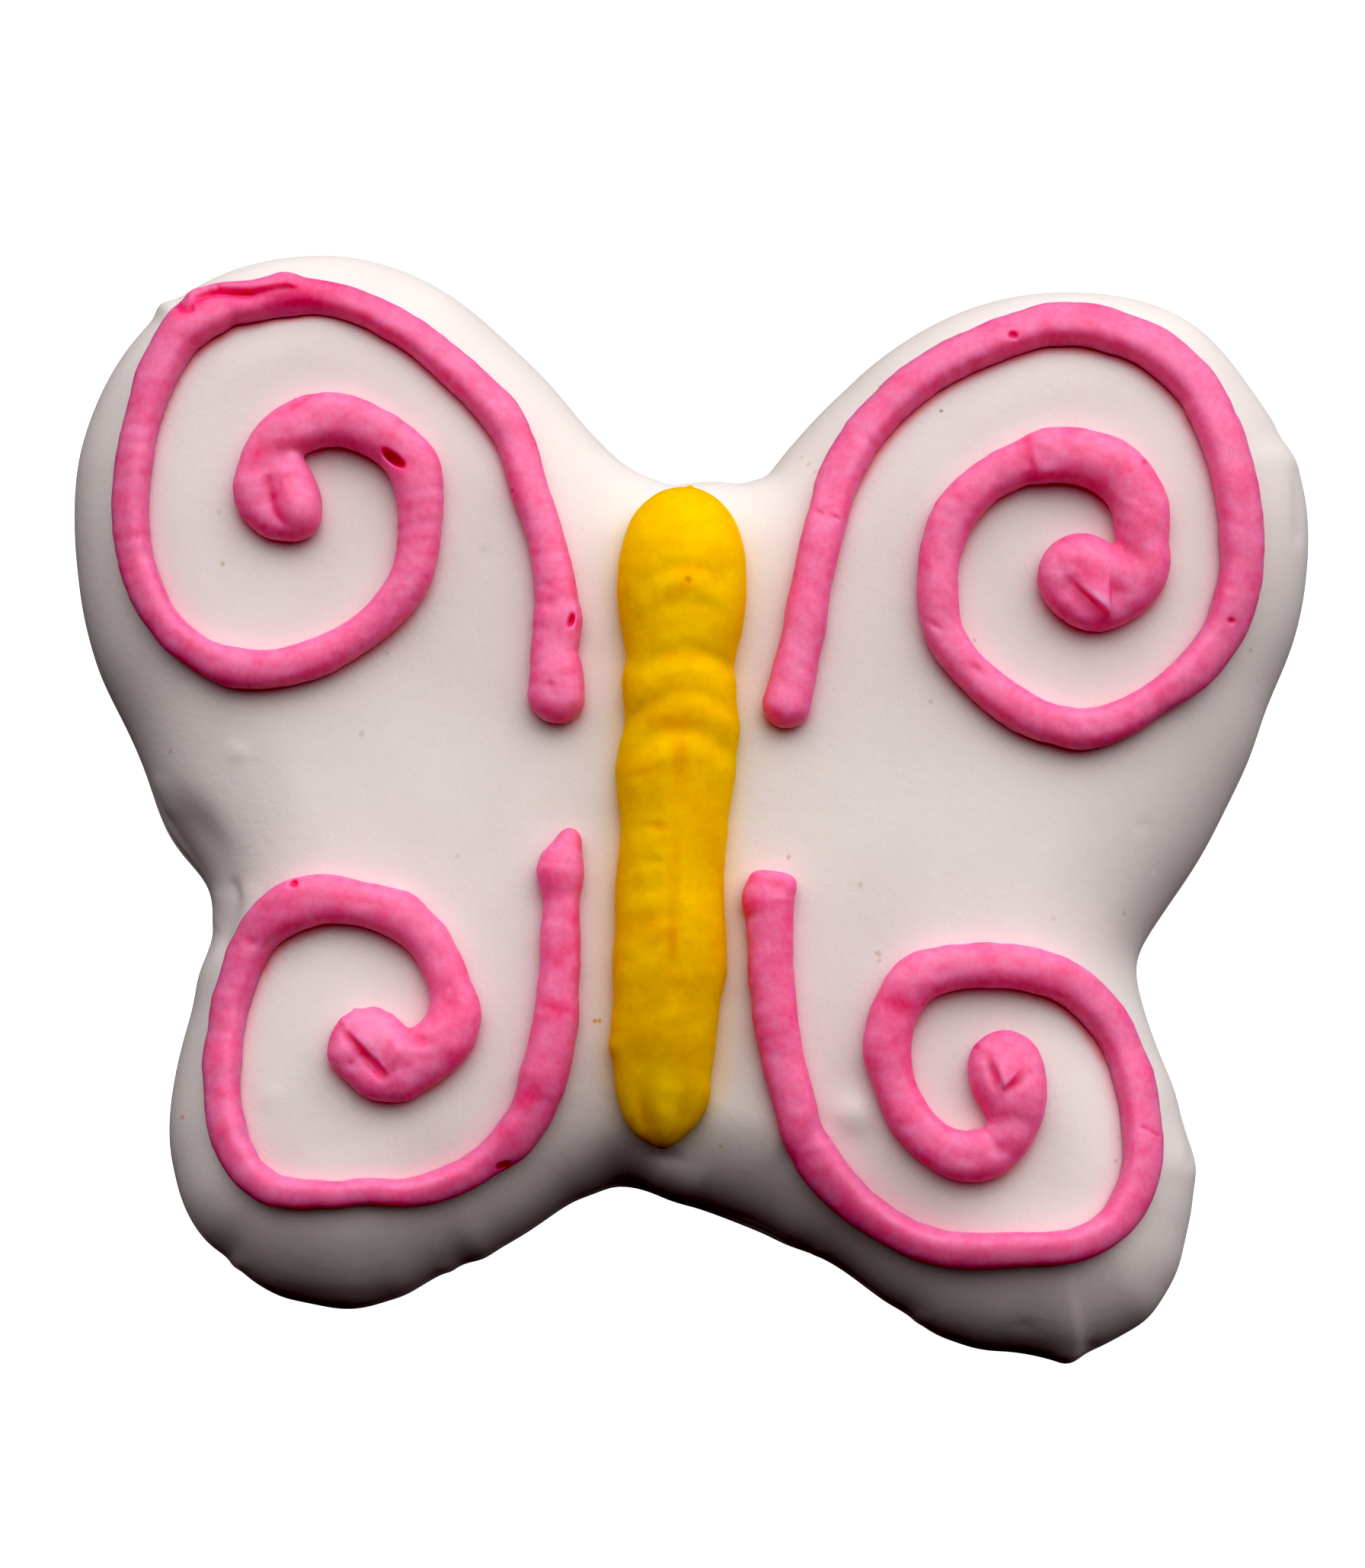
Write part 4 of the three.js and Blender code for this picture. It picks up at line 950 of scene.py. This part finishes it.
def fine_mesh(solid, lo, hi, step):
    """fine closed mesh of a solid, which is a field over the plan and the height above the coating"""
    xs, ys, zs = (np.arange(a, b + step, step) for a, b in zip(lo, hi))
    gx, gy = np.meshgrid(xs, ys, indexing="ij")
    plan = solid.plan(gx, gy)
    wide = []
    for v in plan:
        if isinstance(v, list):
            wide.append([(m[0][..., None], *m[1:]) for m in v])
        else:
            wide.append(None if v is None else v[..., None])
    values = solid.field(wide, zs[None, None, :])
    values[[0, -1]] = values[:, [0, -1]] = values[:, :, [0, -1]] = 1.0
    p, quads = closed_skin(values, np.array([xs[0], ys[0], zs[0]]), step)
    eps = 0.02
    for _ in range(2):
        x, y, h = p.T
        here = solid.plan(x, y)
        f = solid.field(here, h)
        g = np.stack([(solid.field(solid.plan(x + eps, y), h) - f) / eps,
                      (solid.field(solid.plan(x, y + eps), h) - f) / eps,
                      (solid.field(here, h + eps) - f) / eps], 1)
        length = np.maximum((g * g).sum(1), 0.25)
        move = -(f / length)[:, None] * g
        size = np.linalg.norm(move, axis=1)
        move *= np.minimum(1, 0.6 * step / np.maximum(size, 1e-9))[:, None]
        p = p + move
    return p, quads


# ------------------------------------------------------------------ piped body
BODY_AXIS = -1.32
BODY_ENDS, BODY_CAPS = (-21.9, 17.4), (6.0, 7.35)
BODY_MID = [-1.64, -1.68, -1.49, -1.34, -1.33, -1.44, -1.54, -1.4, -1.35, -1.36, -1.31, -0.97, -1.21, -1.22, -1.08,
            -1.25, -1.29]
BODY_HALF = [3.89, 4.16, 4.19, 4.42, 4.38, 4.29, 4.21, 4.18, 4.31, 4.61, 4.67, 4.56, 4.5, 4.33, 4.66, 5.05, 5.09]
BODY_EDGE = [(-25.6, -0.12, 0.26, 1.6), (-22.7, -0.13, -0.10, 0.8), (-21.2, -0.06, 0.08, 0.8),
             (-20.3, 0.14, 0.07, 0.8), (-17.0, -0.10, -0.09, 2.0), (-13.1, 0.07, -0.03, 0.8), (-10.7, -0.04, -0.03, 1.3),
             (-7.7, 0.06, 0.08, 1.3), (-3.2, -0.13, 0.10, 1.3), (0.1, -0.09, -0.01, 0.8), (1.3, 0.05, 0.13, 1.3),
             (6.1, -0.14, 0.02, 2.0), (7.0, -0.03, -0.08, 0.8), (8.8, 0.06, 0.18, 0.8), (10.3, -0.10, 0.02, 0.8),
             (11.8, 0.05, -0.11, 0.8), (13.3, 0.14, -0.05, 0.9), (19.0, -0.11, 0.07, 2.0), (22.9, 0.15, 0.18, 0.8)]
BODY_RISE, BODY_DROOP = 4.3, 0.62
TAIL_THINS = (-12.0, 14.0, 0.35)      # where the tail starts to thin, over what length, by what share
BODY_NUB = (906, 633, 4.6, 1.1)


class Body:
    def __init__(self, skin):
        self.skin = skin
        self.lumps = [(Lumps(31, 6.0), 0.035), (Lumps(32, 2.0), 0.012)]
        self.marks = Marks(BODY_MARKS)

    def base(self, x, y):
        return self.skin.height(np.full_like(x, BODY_AXIS), y) * BODY_DROOP + TOP * (1 - BODY_DROOP)

    def plan(self, x, y):
        (y0, y1), (c0, c1) = BODY_ENDS, BODY_CAPS
        at = np.clip((y - y0) / (y1 - y0), 0, 1) * (len(BODY_MID) - 1)
        mid, half = catmull(BODY_MID, at), catmull(BODY_HALF, at)
        across = (x - mid) / half
        # the uneven sides, which fade out towards its back
        grown = sum(np.where(across > 0, right, left) * np.exp(-((y - c) / q) ** 2) for c, left, right, q in BODY_EDGE)
        across = across * half / (half + grown * np.minimum(np.abs(across), 1) ** 4)
        past = np.where(y > y1, (y - y1) / c1, np.where(y < y0, (y0 - y) / c0, 0.0))
        cap = np.where(y > 0, c1, c0)
        base = self.base(x, y)
        begin, over, part = TAIL_THINS
        rise = BODY_RISE * np.sqrt(np.clip(half / 4.3, 0.05, 1.2)) * (1 - part * smooth((begin - y) / over))
        u, v = seen(np.stack([x, y, base + 3.6], -1))
        uneven = sum(g * f(x, y) for f, g in self.lumps) + self.marks.depth(u, v)
        nub = np.hypot(u - BODY_NUB[0], v - BODY_NUB[1]) * PX
        return across, half, past, cap, self.skin.height(x, y) - base, rise, uneven, nub

    def field(self, plan, z):
        across, half, past, cap, drop, rise, uneven, nub = plan
        up = (z - 0.25 * rise) / (0.75 * rise)
        k0 = np.sqrt(across ** 2 + past ** 2 + up ** 2) + 1e-9
        k1 = np.sqrt((across / half) ** 2 + (past / cap) ** 2 + (up / (0.75 * rise)) ** 2) + 1e-9
        f = k0 * (k0 - 1) / k1
        f = join(f, np.sqrt(nub ** 2 + (z - BODY_NUB[3]) ** 2) - BODY_NUB[2] * PX, 0.25)
        return np.maximum(f + uneven, -(z - drop + SUNK))


# ------------------------------------------------------------------ materials
TINTS = {"grey": (0.45, 0.43, 0.42), "dark": (0.12, 0.11, 0.12), "tan": (0.55, 0.40, 0.24), "yellow": (0.72, 0.42, 0.06),
         "pink": (0.85, 0.15, 0.3), "light": (0.95, 0.94, 0.93)}
# specks on the coating: picture position, radius in pixels, strength, colour
SPECKS = [
    (288, 671, 5, 0.25, "grey"), (292, 740, 4, 0.5, "tan"), (508, 857, 5, 0.3, "grey"), (217, 979, 4, 0.4, "tan"),
    (230, 1462, 4, 0.5, "pink"), (475, 963, 6, 0.25, "grey"), (600, 1124, 5, 0.25, "grey"), (1279, 840, 4, 0.4, "grey"),
    (1222, 921, 4, 0.4, "grey"), (1648, 846, 4, 0.35, "grey"), (781, 1340, 4, 0.8, "yellow"), (787, 1340, 4, 0.8, "yellow"),
    (1236, 538, 4, 0.6, "dark"), (1158, 494, 4, 0.4, "tan"), (1035, 1126, 4, 0.45, "tan"), (1129, 1162, 5, 0.35, "tan"),
    (1153, 1253, 6, 0.45, "tan"), (1154, 1262, 4, 0.4, "grey"), (1482, 1193, 4, 0.35, "grey"), (1522, 1139, 5, 0.5, "light"),
    (1466, 1524, 4, 0.4, "grey"), (1055, 585, 4, 0.3, "tan"), (1063, 598, 4, 0.3, "tan"), (1071, 611, 4, 0.3, "tan"),
    (947, 1503, 4, 0.4, "yellow"), (636, 723, 12, 0.12, "grey"), (1384, 1206, 5, 0.2, "tan"),
]


def principled(name, color, roughness):
    m = bpy.data.materials.new(name)
    m.use_nodes = True
    b = m.node_tree.nodes["Principled BSDF"]
    b.inputs["Base Color"].default_value = (*color, 1)
    b.inputs["Roughness"].default_value = roughness
    return m, m.node_tree, b


def bump(tree, shader, layers):
    """stacked fine bumps: (scale per metre, detail, strength, distance in metres)"""
    coord = tree.nodes.new("ShaderNodeTexCoord")
    last = None
    for scale, detail, strength, distance in layers:
        noise = tree.nodes.new("ShaderNodeTexNoise")
        noise.inputs["Scale"].default_value = scale
        noise.inputs["Detail"].default_value = detail
        noise.inputs["Roughness"].default_value = 0.55
        tree.links.new(coord.outputs["Object"], noise.inputs["Vector"])
        b = tree.nodes.new("ShaderNodeBump")
        b.inputs["Strength"].default_value = strength
        b.inputs["Distance"].default_value = distance
        tree.links.new(noise.outputs["Fac"], b.inputs["Height"])
        if last:
            tree.links.new(last.outputs["Normal"], b.inputs["Normal"])
        last = b
    tree.links.new(last.outputs["Normal"], shader.inputs["Normal"])


def number(tree, name):
    n = tree.nodes.new("ShaderNodeAttribute")
    n.attribute_name = name
    return n.outputs["Fac"]


def ranged(tree, value, low, high, to_low=0.0, to_high=1.0):
    n = tree.nodes.new("ShaderNodeMapRange")
    n.interpolation_type = "SMOOTHSTEP"
    n.inputs["From Min"].default_value, n.inputs["From Max"].default_value = low, high
    n.inputs["To Min"].default_value, n.inputs["To Max"].default_value = to_low, to_high
    tree.links.new(value, n.inputs["Value"])
    return n.outputs["Result"]


def cloud(tree, scale, detail, low, high, to_low=0.0, to_high=1.0, roughness=0.55):
    """noise of the object's own space, stretched to a range"""
    coord = tree.nodes.new("ShaderNodeTexCoord")
    n = tree.nodes.new("ShaderNodeTexNoise")
    n.inputs["Scale"].default_value = scale
    n.inputs["Detail"].default_value = detail
    n.inputs["Roughness"].default_value = roughness
    tree.links.new(coord.outputs["Object"], n.inputs["Vector"])
    return ranged(tree, n.outputs["Fac"], low, high, to_low, to_high)


def sums(tree, a, b, how="ADD", clamp=False):
    n = tree.nodes.new("ShaderNodeMath")
    n.operation, n.use_clamp = how, clamp
    for k, x in enumerate((a, b)):
        if isinstance(x, (int, float)):
            n.inputs[k].default_value = x
        else:
            tree.links.new(x, n.inputs[k])
    return n.outputs[0]


def blend(tree, share, a, b):
    """colour a turning into colour b by the share"""
    n = tree.nodes.new("ShaderNodeMix")
    n.data_type = "RGBA"
    tree.links.new(share, n.inputs["Factor"])
    for k, x in ((6, a), (7, b)):
        if isinstance(x, tuple):
            n.inputs[k].default_value = (*x, 1)
        else:
            tree.links.new(x, n.inputs[k])
    return n.outputs[2]


def icing(name, color, roughness, glow, radius, gloss, layers):
    m, tree, b = principled(name, color, roughness)
    b.inputs["Subsurface Weight"].default_value = glow
    b.inputs["Subsurface Radius"].default_value = radius
    b.inputs["Subsurface Scale"].default_value = 0.001
    b.inputs["Specular IOR Level"].default_value = gloss[0]
    b.inputs["Specular Tint"].default_value = (*gloss[1], 1)
    bump(tree, b, layers)
    return m, tree, b


WHITE, wt, wb = icing("white_icing", (0.83, 0.78, 0.75), 0.62, 0.2, (1.2, 0.9, 0.7), (0.1, (1, 1, 1)),
                      [(1100, 3, 0.4, 0.0001), (3600, 2, 0.3, 0.00004)])
# faint patches; a pale pink tint beside the pink lines, partly dye and partly painted pink reflection; a painted red
# shadow south of the lines; a yellow tint beside the body, partly dye and partly painted yellow reflection; and small
# specks
c = blend(wt, cloud(wt, 110, 2, 0.35, 0.7), (0.828, 0.778, 0.756), (0.808, 0.753, 0.735))
c = blend(wt, sums(wt, number(wt, "pink_dye_and_painted_reflection"), 0.1, "MULTIPLY"), c, (0.9, 0.45, 0.55))
# painted red shadow south of the pink lines
c = blend(wt, sums(wt, number(wt, "painted_red_shadow"), 0.6, "MULTIPLY"), c, (0.88, 0.13, 0.18))
c = blend(wt, sums(wt, number(wt, "yellow_dye_and_painted_reflection"), 0.3, "MULTIPLY"), c, (0.9, 0.68, 0.32))
coord = wt.nodes.new("ShaderNodeTexCoord")
flat = wt.nodes.new("ShaderNodeVectorMath")
flat.operation = "MULTIPLY"
flat.inputs[1].default_value = (1000, 1000, 0)
wt.links.new(coord.outputs["Object"], flat.inputs[0])
jolt = wt.nodes.new("ShaderNodeTexNoise")
jolt.inputs["Scale"].default_value = 2600
jolt.inputs["Detail"].default_value = 1
wt.links.new(coord.outputs["Object"], jolt.inputs["Vector"])
moved = wt.nodes.new("ShaderNodeVectorMath")
moved.operation = "MULTIPLY_ADD"
moved.inputs[1].default_value = (0.3, 0.3, 0)
wt.links.new(jolt.outputs["Color"], moved.inputs[0])
wt.links.new(flat.outputs[0], moved.inputs[2])
for u, v, r, share, tint in SPECKS:
    x, y = spot(u, v, 12.3)
    far = wt.nodes.new("ShaderNodeVectorMath")
    far.operation = "DISTANCE"
    far.inputs[1].default_value = (x + MIDDLE[0] + 0.15, y + MIDDLE[1] + 0.15, 0)
    wt.links.new(moved.outputs[0], far.inputs[0])
    c = blend(wt, ranged(wt, far.outputs["Value"], 0.2 * r * PX, 1.1 * r * PX, share, 0.0), c, TINTS[tint])
wt.links.new(c, wb.inputs["Base Color"])

PINK, pt, pb = icing("pink_icing", (0.95, 0.17, 0.40), 0.62, 1.0, (2.8, 0.4, 0.6), (1.0, (1, 1, 1)),
                     [(1000, 4, 0.45, 0.00008), (5200, 2, 0.35, 0.00002)])
# pink mottled at random; the stain attribute deepens it as painted shade in creases, holes and shaded flanks, to
# crimson at its deep end, and pales it as a painted highlight on raised tops
share = sums(pt, cloud(pt, 420, 3, 0.38, 0.72, 0.0, 0.34), cloud(pt, 1900, 3, 0.3, 0.75, 0.0, 0.28, 0.7))
share = sums(pt, share, number(pt, "stain_and_painted_shading"), clamp=True)
c = blend(pt, share, (0.945, 0.262, 0.488), (0.88, 0.013, 0.22))
c = blend(pt, ranged(pt, number(pt, "stain_and_painted_shading"), 0.75, 1.0), c, (0.72, 0.001, 0.09))
c = blend(pt, ranged(pt, number(pt, "stain_and_painted_shading"), 0.0, -1.0), c, (1.0, 0.45, 0.68))
pt.links.new(c, pb.inputs["Base Color"])
pb.inputs["IOR"].default_value = 1.65

YELLOW, yt, yb = icing("yellow_icing", (0.93, 0.57, 0.002), 0.46, 0.25, (1.2, 0.8, 0.1), (0.35, (1, 0.72, 0.1)),
                       [(800, 4, 0.35, 0.00006), (4200, 2, 0.3, 0.00002)])
# yellow deepened at random and by the stain attribute: painted shade in the furrows and tail hollows, and paler as a
# painted highlight on the head and the nose ridge
share = sums(yt, cloud(yt, 300, 3, 0.4, 0.75, 0.1, 0.32), cloud(yt, 1700, 3, 0.3, 0.75, 0.0, 0.2, 0.7))
share = sums(yt, share, sums(yt, number(yt, "stain_and_painted_shading"), 0.8, "MULTIPLY"), clamp=True)
yt.links.new(blend(yt, share, (0.94, 0.655, 0.001), (0.80, 0.36, 0.001)), yb.inputs["Base Color"])

# ------------------------------------------------------------------ build
points, quads, tris = biscuit_mesh()
points = press(points, quads, tris, Marks(COAT_MARKS))
biscuit = new_object("white_coating", points, [quads, tris], WHITE)
skin = Skin(points, quads, tris)
pieces = [(biscuit, "iced_biscuit", "white_icing")]

pink_dye_and_painted_reflection, painted_red_shadow = np.zeros(len(points)), np.zeros(len(points))
for name, sizes in SCROLLS.items():
    s = Scroll(skin, MOUNDS[name], SCROLL_MARKS[name], **sizes)
    near, shaded = np.full(len(points), 9.0), np.zeros(len(points))
    k = np.flatnonzero((points[:, 2] > 4) & (points[:, 0] > s.p.real.min() - 5) & (points[:, 0] < s.p.real.max() + 5)
                       & (points[:, 1] > s.p.imag.min() - 5) & (points[:, 1] < s.p.imag.max() + 5))
    q, path_x, path_y = points[k], s.p.real[::2], s.p.imag[::2]
    for i in range(0, len(k), 8000):
        far = np.hypot(q[i:i + 8000, :1] - path_x, q[i:i + 8000, 1:2] - path_y) - s.w[::2] / 2
        first = np.argmin(far, axis=1)
        near[k[i:i + 8000]] = far[np.arange(len(first)), first]
        south = path_y[first] - q[i:i + 8000, 1]
        shaded[k[i:i + 8000]] = smooth(south / np.hypot(south, path_x[first] - q[i:i + 8000, 0]) * 1.3)
    # pale pink tint beside each line: partly dye, partly painted pink reflection from the lit piping
    pink_dye_and_painted_reflection = np.maximum(pink_dye_and_painted_reflection, np.exp(-(np.maximum(near, 0) / 0.5) ** 1.5))
    # painted red shadow: red painted on the coating just south of each line, where its contact shadow falls
    painted_red_shadow = np.maximum(painted_red_shadow, smooth((0.5 - near) / 0.85) * shaded)
    lo = np.array([s.p.real.min() - 3.6, s.p.imag.min() - 3.6, -SUNK - 0.3])
    hi = np.array([s.p.real.max() + 3.6, s.p.imag.max() + 3.6, 4.4])
    p, q = fine_mesh(s, lo, hi, GRAINS[name])
    p = skin.lift(*p.T)
    ob = new_object(name.replace("scroll", "piping"), p, [q], PINK)
    point_value(ob, "stain_and_painted_shading", s.marks.stain_and_painted_shading(*seen(p)))
    pieces.append((ob, name, "pink_icing"))

b = Body(skin)
p, q = fine_mesh(b, np.array([-8.5, -30.0, -6.0]), np.array([5.5, 27.5, 5.2]), GRAINS["piped_body"])
p = np.stack([p[:, 0], p[:, 1], p[:, 2] + b.base(p[:, 0], p[:, 1])], 1)
ob = new_object("piping_body", p, [q], YELLOW)
point_value(ob, "stain_and_painted_shading", b.marks.stain_and_painted_shading(*seen(p)))
# yellow tint on the coating beside the body: partly dye, partly painted yellow reflection from the piping
y0, y1 = BODY_ENDS
past = np.maximum(0, np.maximum(points[:, 1] - y1, y0 - points[:, 1]))
far = np.hypot(points[:, 0] - BODY_AXIS, past) - 4.4
yellow_dye_and_painted_reflection = np.exp(-(np.maximum(far, 0) / 0.9) ** 1.5) * (points[:, 2] > 4)
point_value(biscuit, "pink_dye_and_painted_reflection", pink_dye_and_painted_reflection)
point_value(biscuit, "painted_red_shadow", painted_red_shadow)
point_value(biscuit, "yellow_dye_and_painted_reflection", yellow_dye_and_painted_reflection)
pieces.append((ob, "piped_body", "yellow_icing"))

for ob, node, slot in pieces:
    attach(ob, "root")
    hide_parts(node)
    print("piece", ob.name, len(ob.data.vertices), sum(len(p.vertices) - 2 for p in ob.data.polygons))

# ------------------------------------------------------------------ floor, light, camera
# broad patches of light: turn from +X, height, strength; most comes from beyond the head
SKY = [(45, 18, 2.22), (135, 18, 1.52), (45, 54, 0.97), (90, 56, 3.5), (0, -28, 0.49), (180, 10, 0.15)]
SKY_SPREAD, SKY_FILL = 7.0, 0.042
CONTRAST, BLACK = 0.78, 0.05
fm, ftree, fb = principled("floor_card", (0.80, 0.80, 0.80), 0.9)
fb.inputs["Emission Color"].default_value = (1, 1, 1, 1)
fb.inputs["Emission Strength"].default_value = 1.0
fb.inputs["Specular IOR Level"].default_value = 0.0
me = bpy.data.meshes.new("floor")
r = 3.0
me.from_pydata([(-r, -r, 0), (r, -r, 0), (r, r, 0), (-r, r, 0)], [], [(0, 1, 2, 3)])
me.materials.append(fm)
floor = bpy.data.objects.new("floor", me)
bpy.context.scene.collection.objects.link(floor)
floor.visible_diffuse = False
floor.visible_glossy = False

world = bpy.data.worlds.new("studio")
bpy.context.scene.world = world
world.use_nodes = True
sky_tree = world.node_tree
sky_tree.nodes.clear()
coord = sky_tree.nodes.new("ShaderNodeTexCoord")
total = None
for turn, height, strength in SKY:
    t, h = math.radians(turn), math.radians(height)
    dot = sky_tree.nodes.new("ShaderNodeVectorMath")
    dot.operation = "DOT_PRODUCT"
    dot.inputs[1].default_value = (math.cos(h) * math.cos(t), math.cos(h) * math.sin(t), math.sin(h))
    sky_tree.links.new(coord.outputs["Generated"], dot.inputs[0])
    front = sky_tree.nodes.new("ShaderNodeMath")
    front.operation = "MAXIMUM"
    front.inputs[1].default_value = 0.0
    sky_tree.links.new(dot.outputs["Value"], front.inputs[0])
    patch = sky_tree.nodes.new("ShaderNodeMath")
    patch.operation = "POWER"
    patch.inputs[1].default_value = SKY_SPREAD
    sky_tree.links.new(front.outputs[0], patch.inputs[0])
    add = sky_tree.nodes.new("ShaderNodeMath")
    add.operation = "MULTIPLY_ADD"
    add.inputs[1].default_value = strength
    add.inputs[2].default_value = SKY_FILL
    sky_tree.links.new(patch.outputs[0], add.inputs[0])
    if total:
        sky_tree.links.new(total.outputs[0], add.inputs[2])
    total = add
sky = sky_tree.nodes.new("ShaderNodeBackground")
backdrop = sky_tree.nodes.new("ShaderNodeBackground")
backdrop.inputs["Color"].default_value = (1, 1, 1, 1)
path = sky_tree.nodes.new("ShaderNodeLightPath")
mix = sky_tree.nodes.new("ShaderNodeMixShader")
out = sky_tree.nodes.new("ShaderNodeOutputWorld")
sky_tree.links.new(total.outputs[0], sky.inputs["Strength"])
sky_tree.links.new(blend(sky_tree, ranged(sky_tree, total.outputs[0], 0.04, 0.7), (0.8, 0.6, 0.66), (0.8, 0.8, 0.8)),
                   sky.inputs["Color"])
sky_tree.links.new(path.outputs["Is Camera Ray"], mix.inputs["Fac"])
sky_tree.links.new(sky.outputs["Background"], mix.inputs[1])
sky_tree.links.new(backdrop.outputs["Background"], mix.inputs[2])
sky_tree.links.new(mix.outputs["Shader"], out.inputs["Surface"])

view = bpy.context.scene.view_settings
view.view_transform = "Standard"
view.look = "None"
view.gamma = CONTRAST
view.use_curve_mapping = True
view.curve_mapping.black_level = (BLACK, BLACK, BLACK)
view.curve_mapping.update()

cd = bpy.data.cameras.new("view")
cd.lens, cd.sensor_fit, cd.sensor_height, cd.sensor_width = LENS, "VERTICAL", SENSOR, SENSOR
cd.clip_start, cd.clip_end = 0.01, 20
cam = bpy.data.objects.new("view", cd)
bpy.context.scene.collection.objects.link(cam)
m = Matrix.Identity(4)
place = (EYE + MIDDLE) / 1000
for i in range(3):
    m[i][0], m[i][1], m[i][2], m[i][3] = CAM_RIGHT[i], CAM_UP[i], CAM_BACK[i], place[i]
cam.matrix_world = m
bpy.context.scene.camera = cam
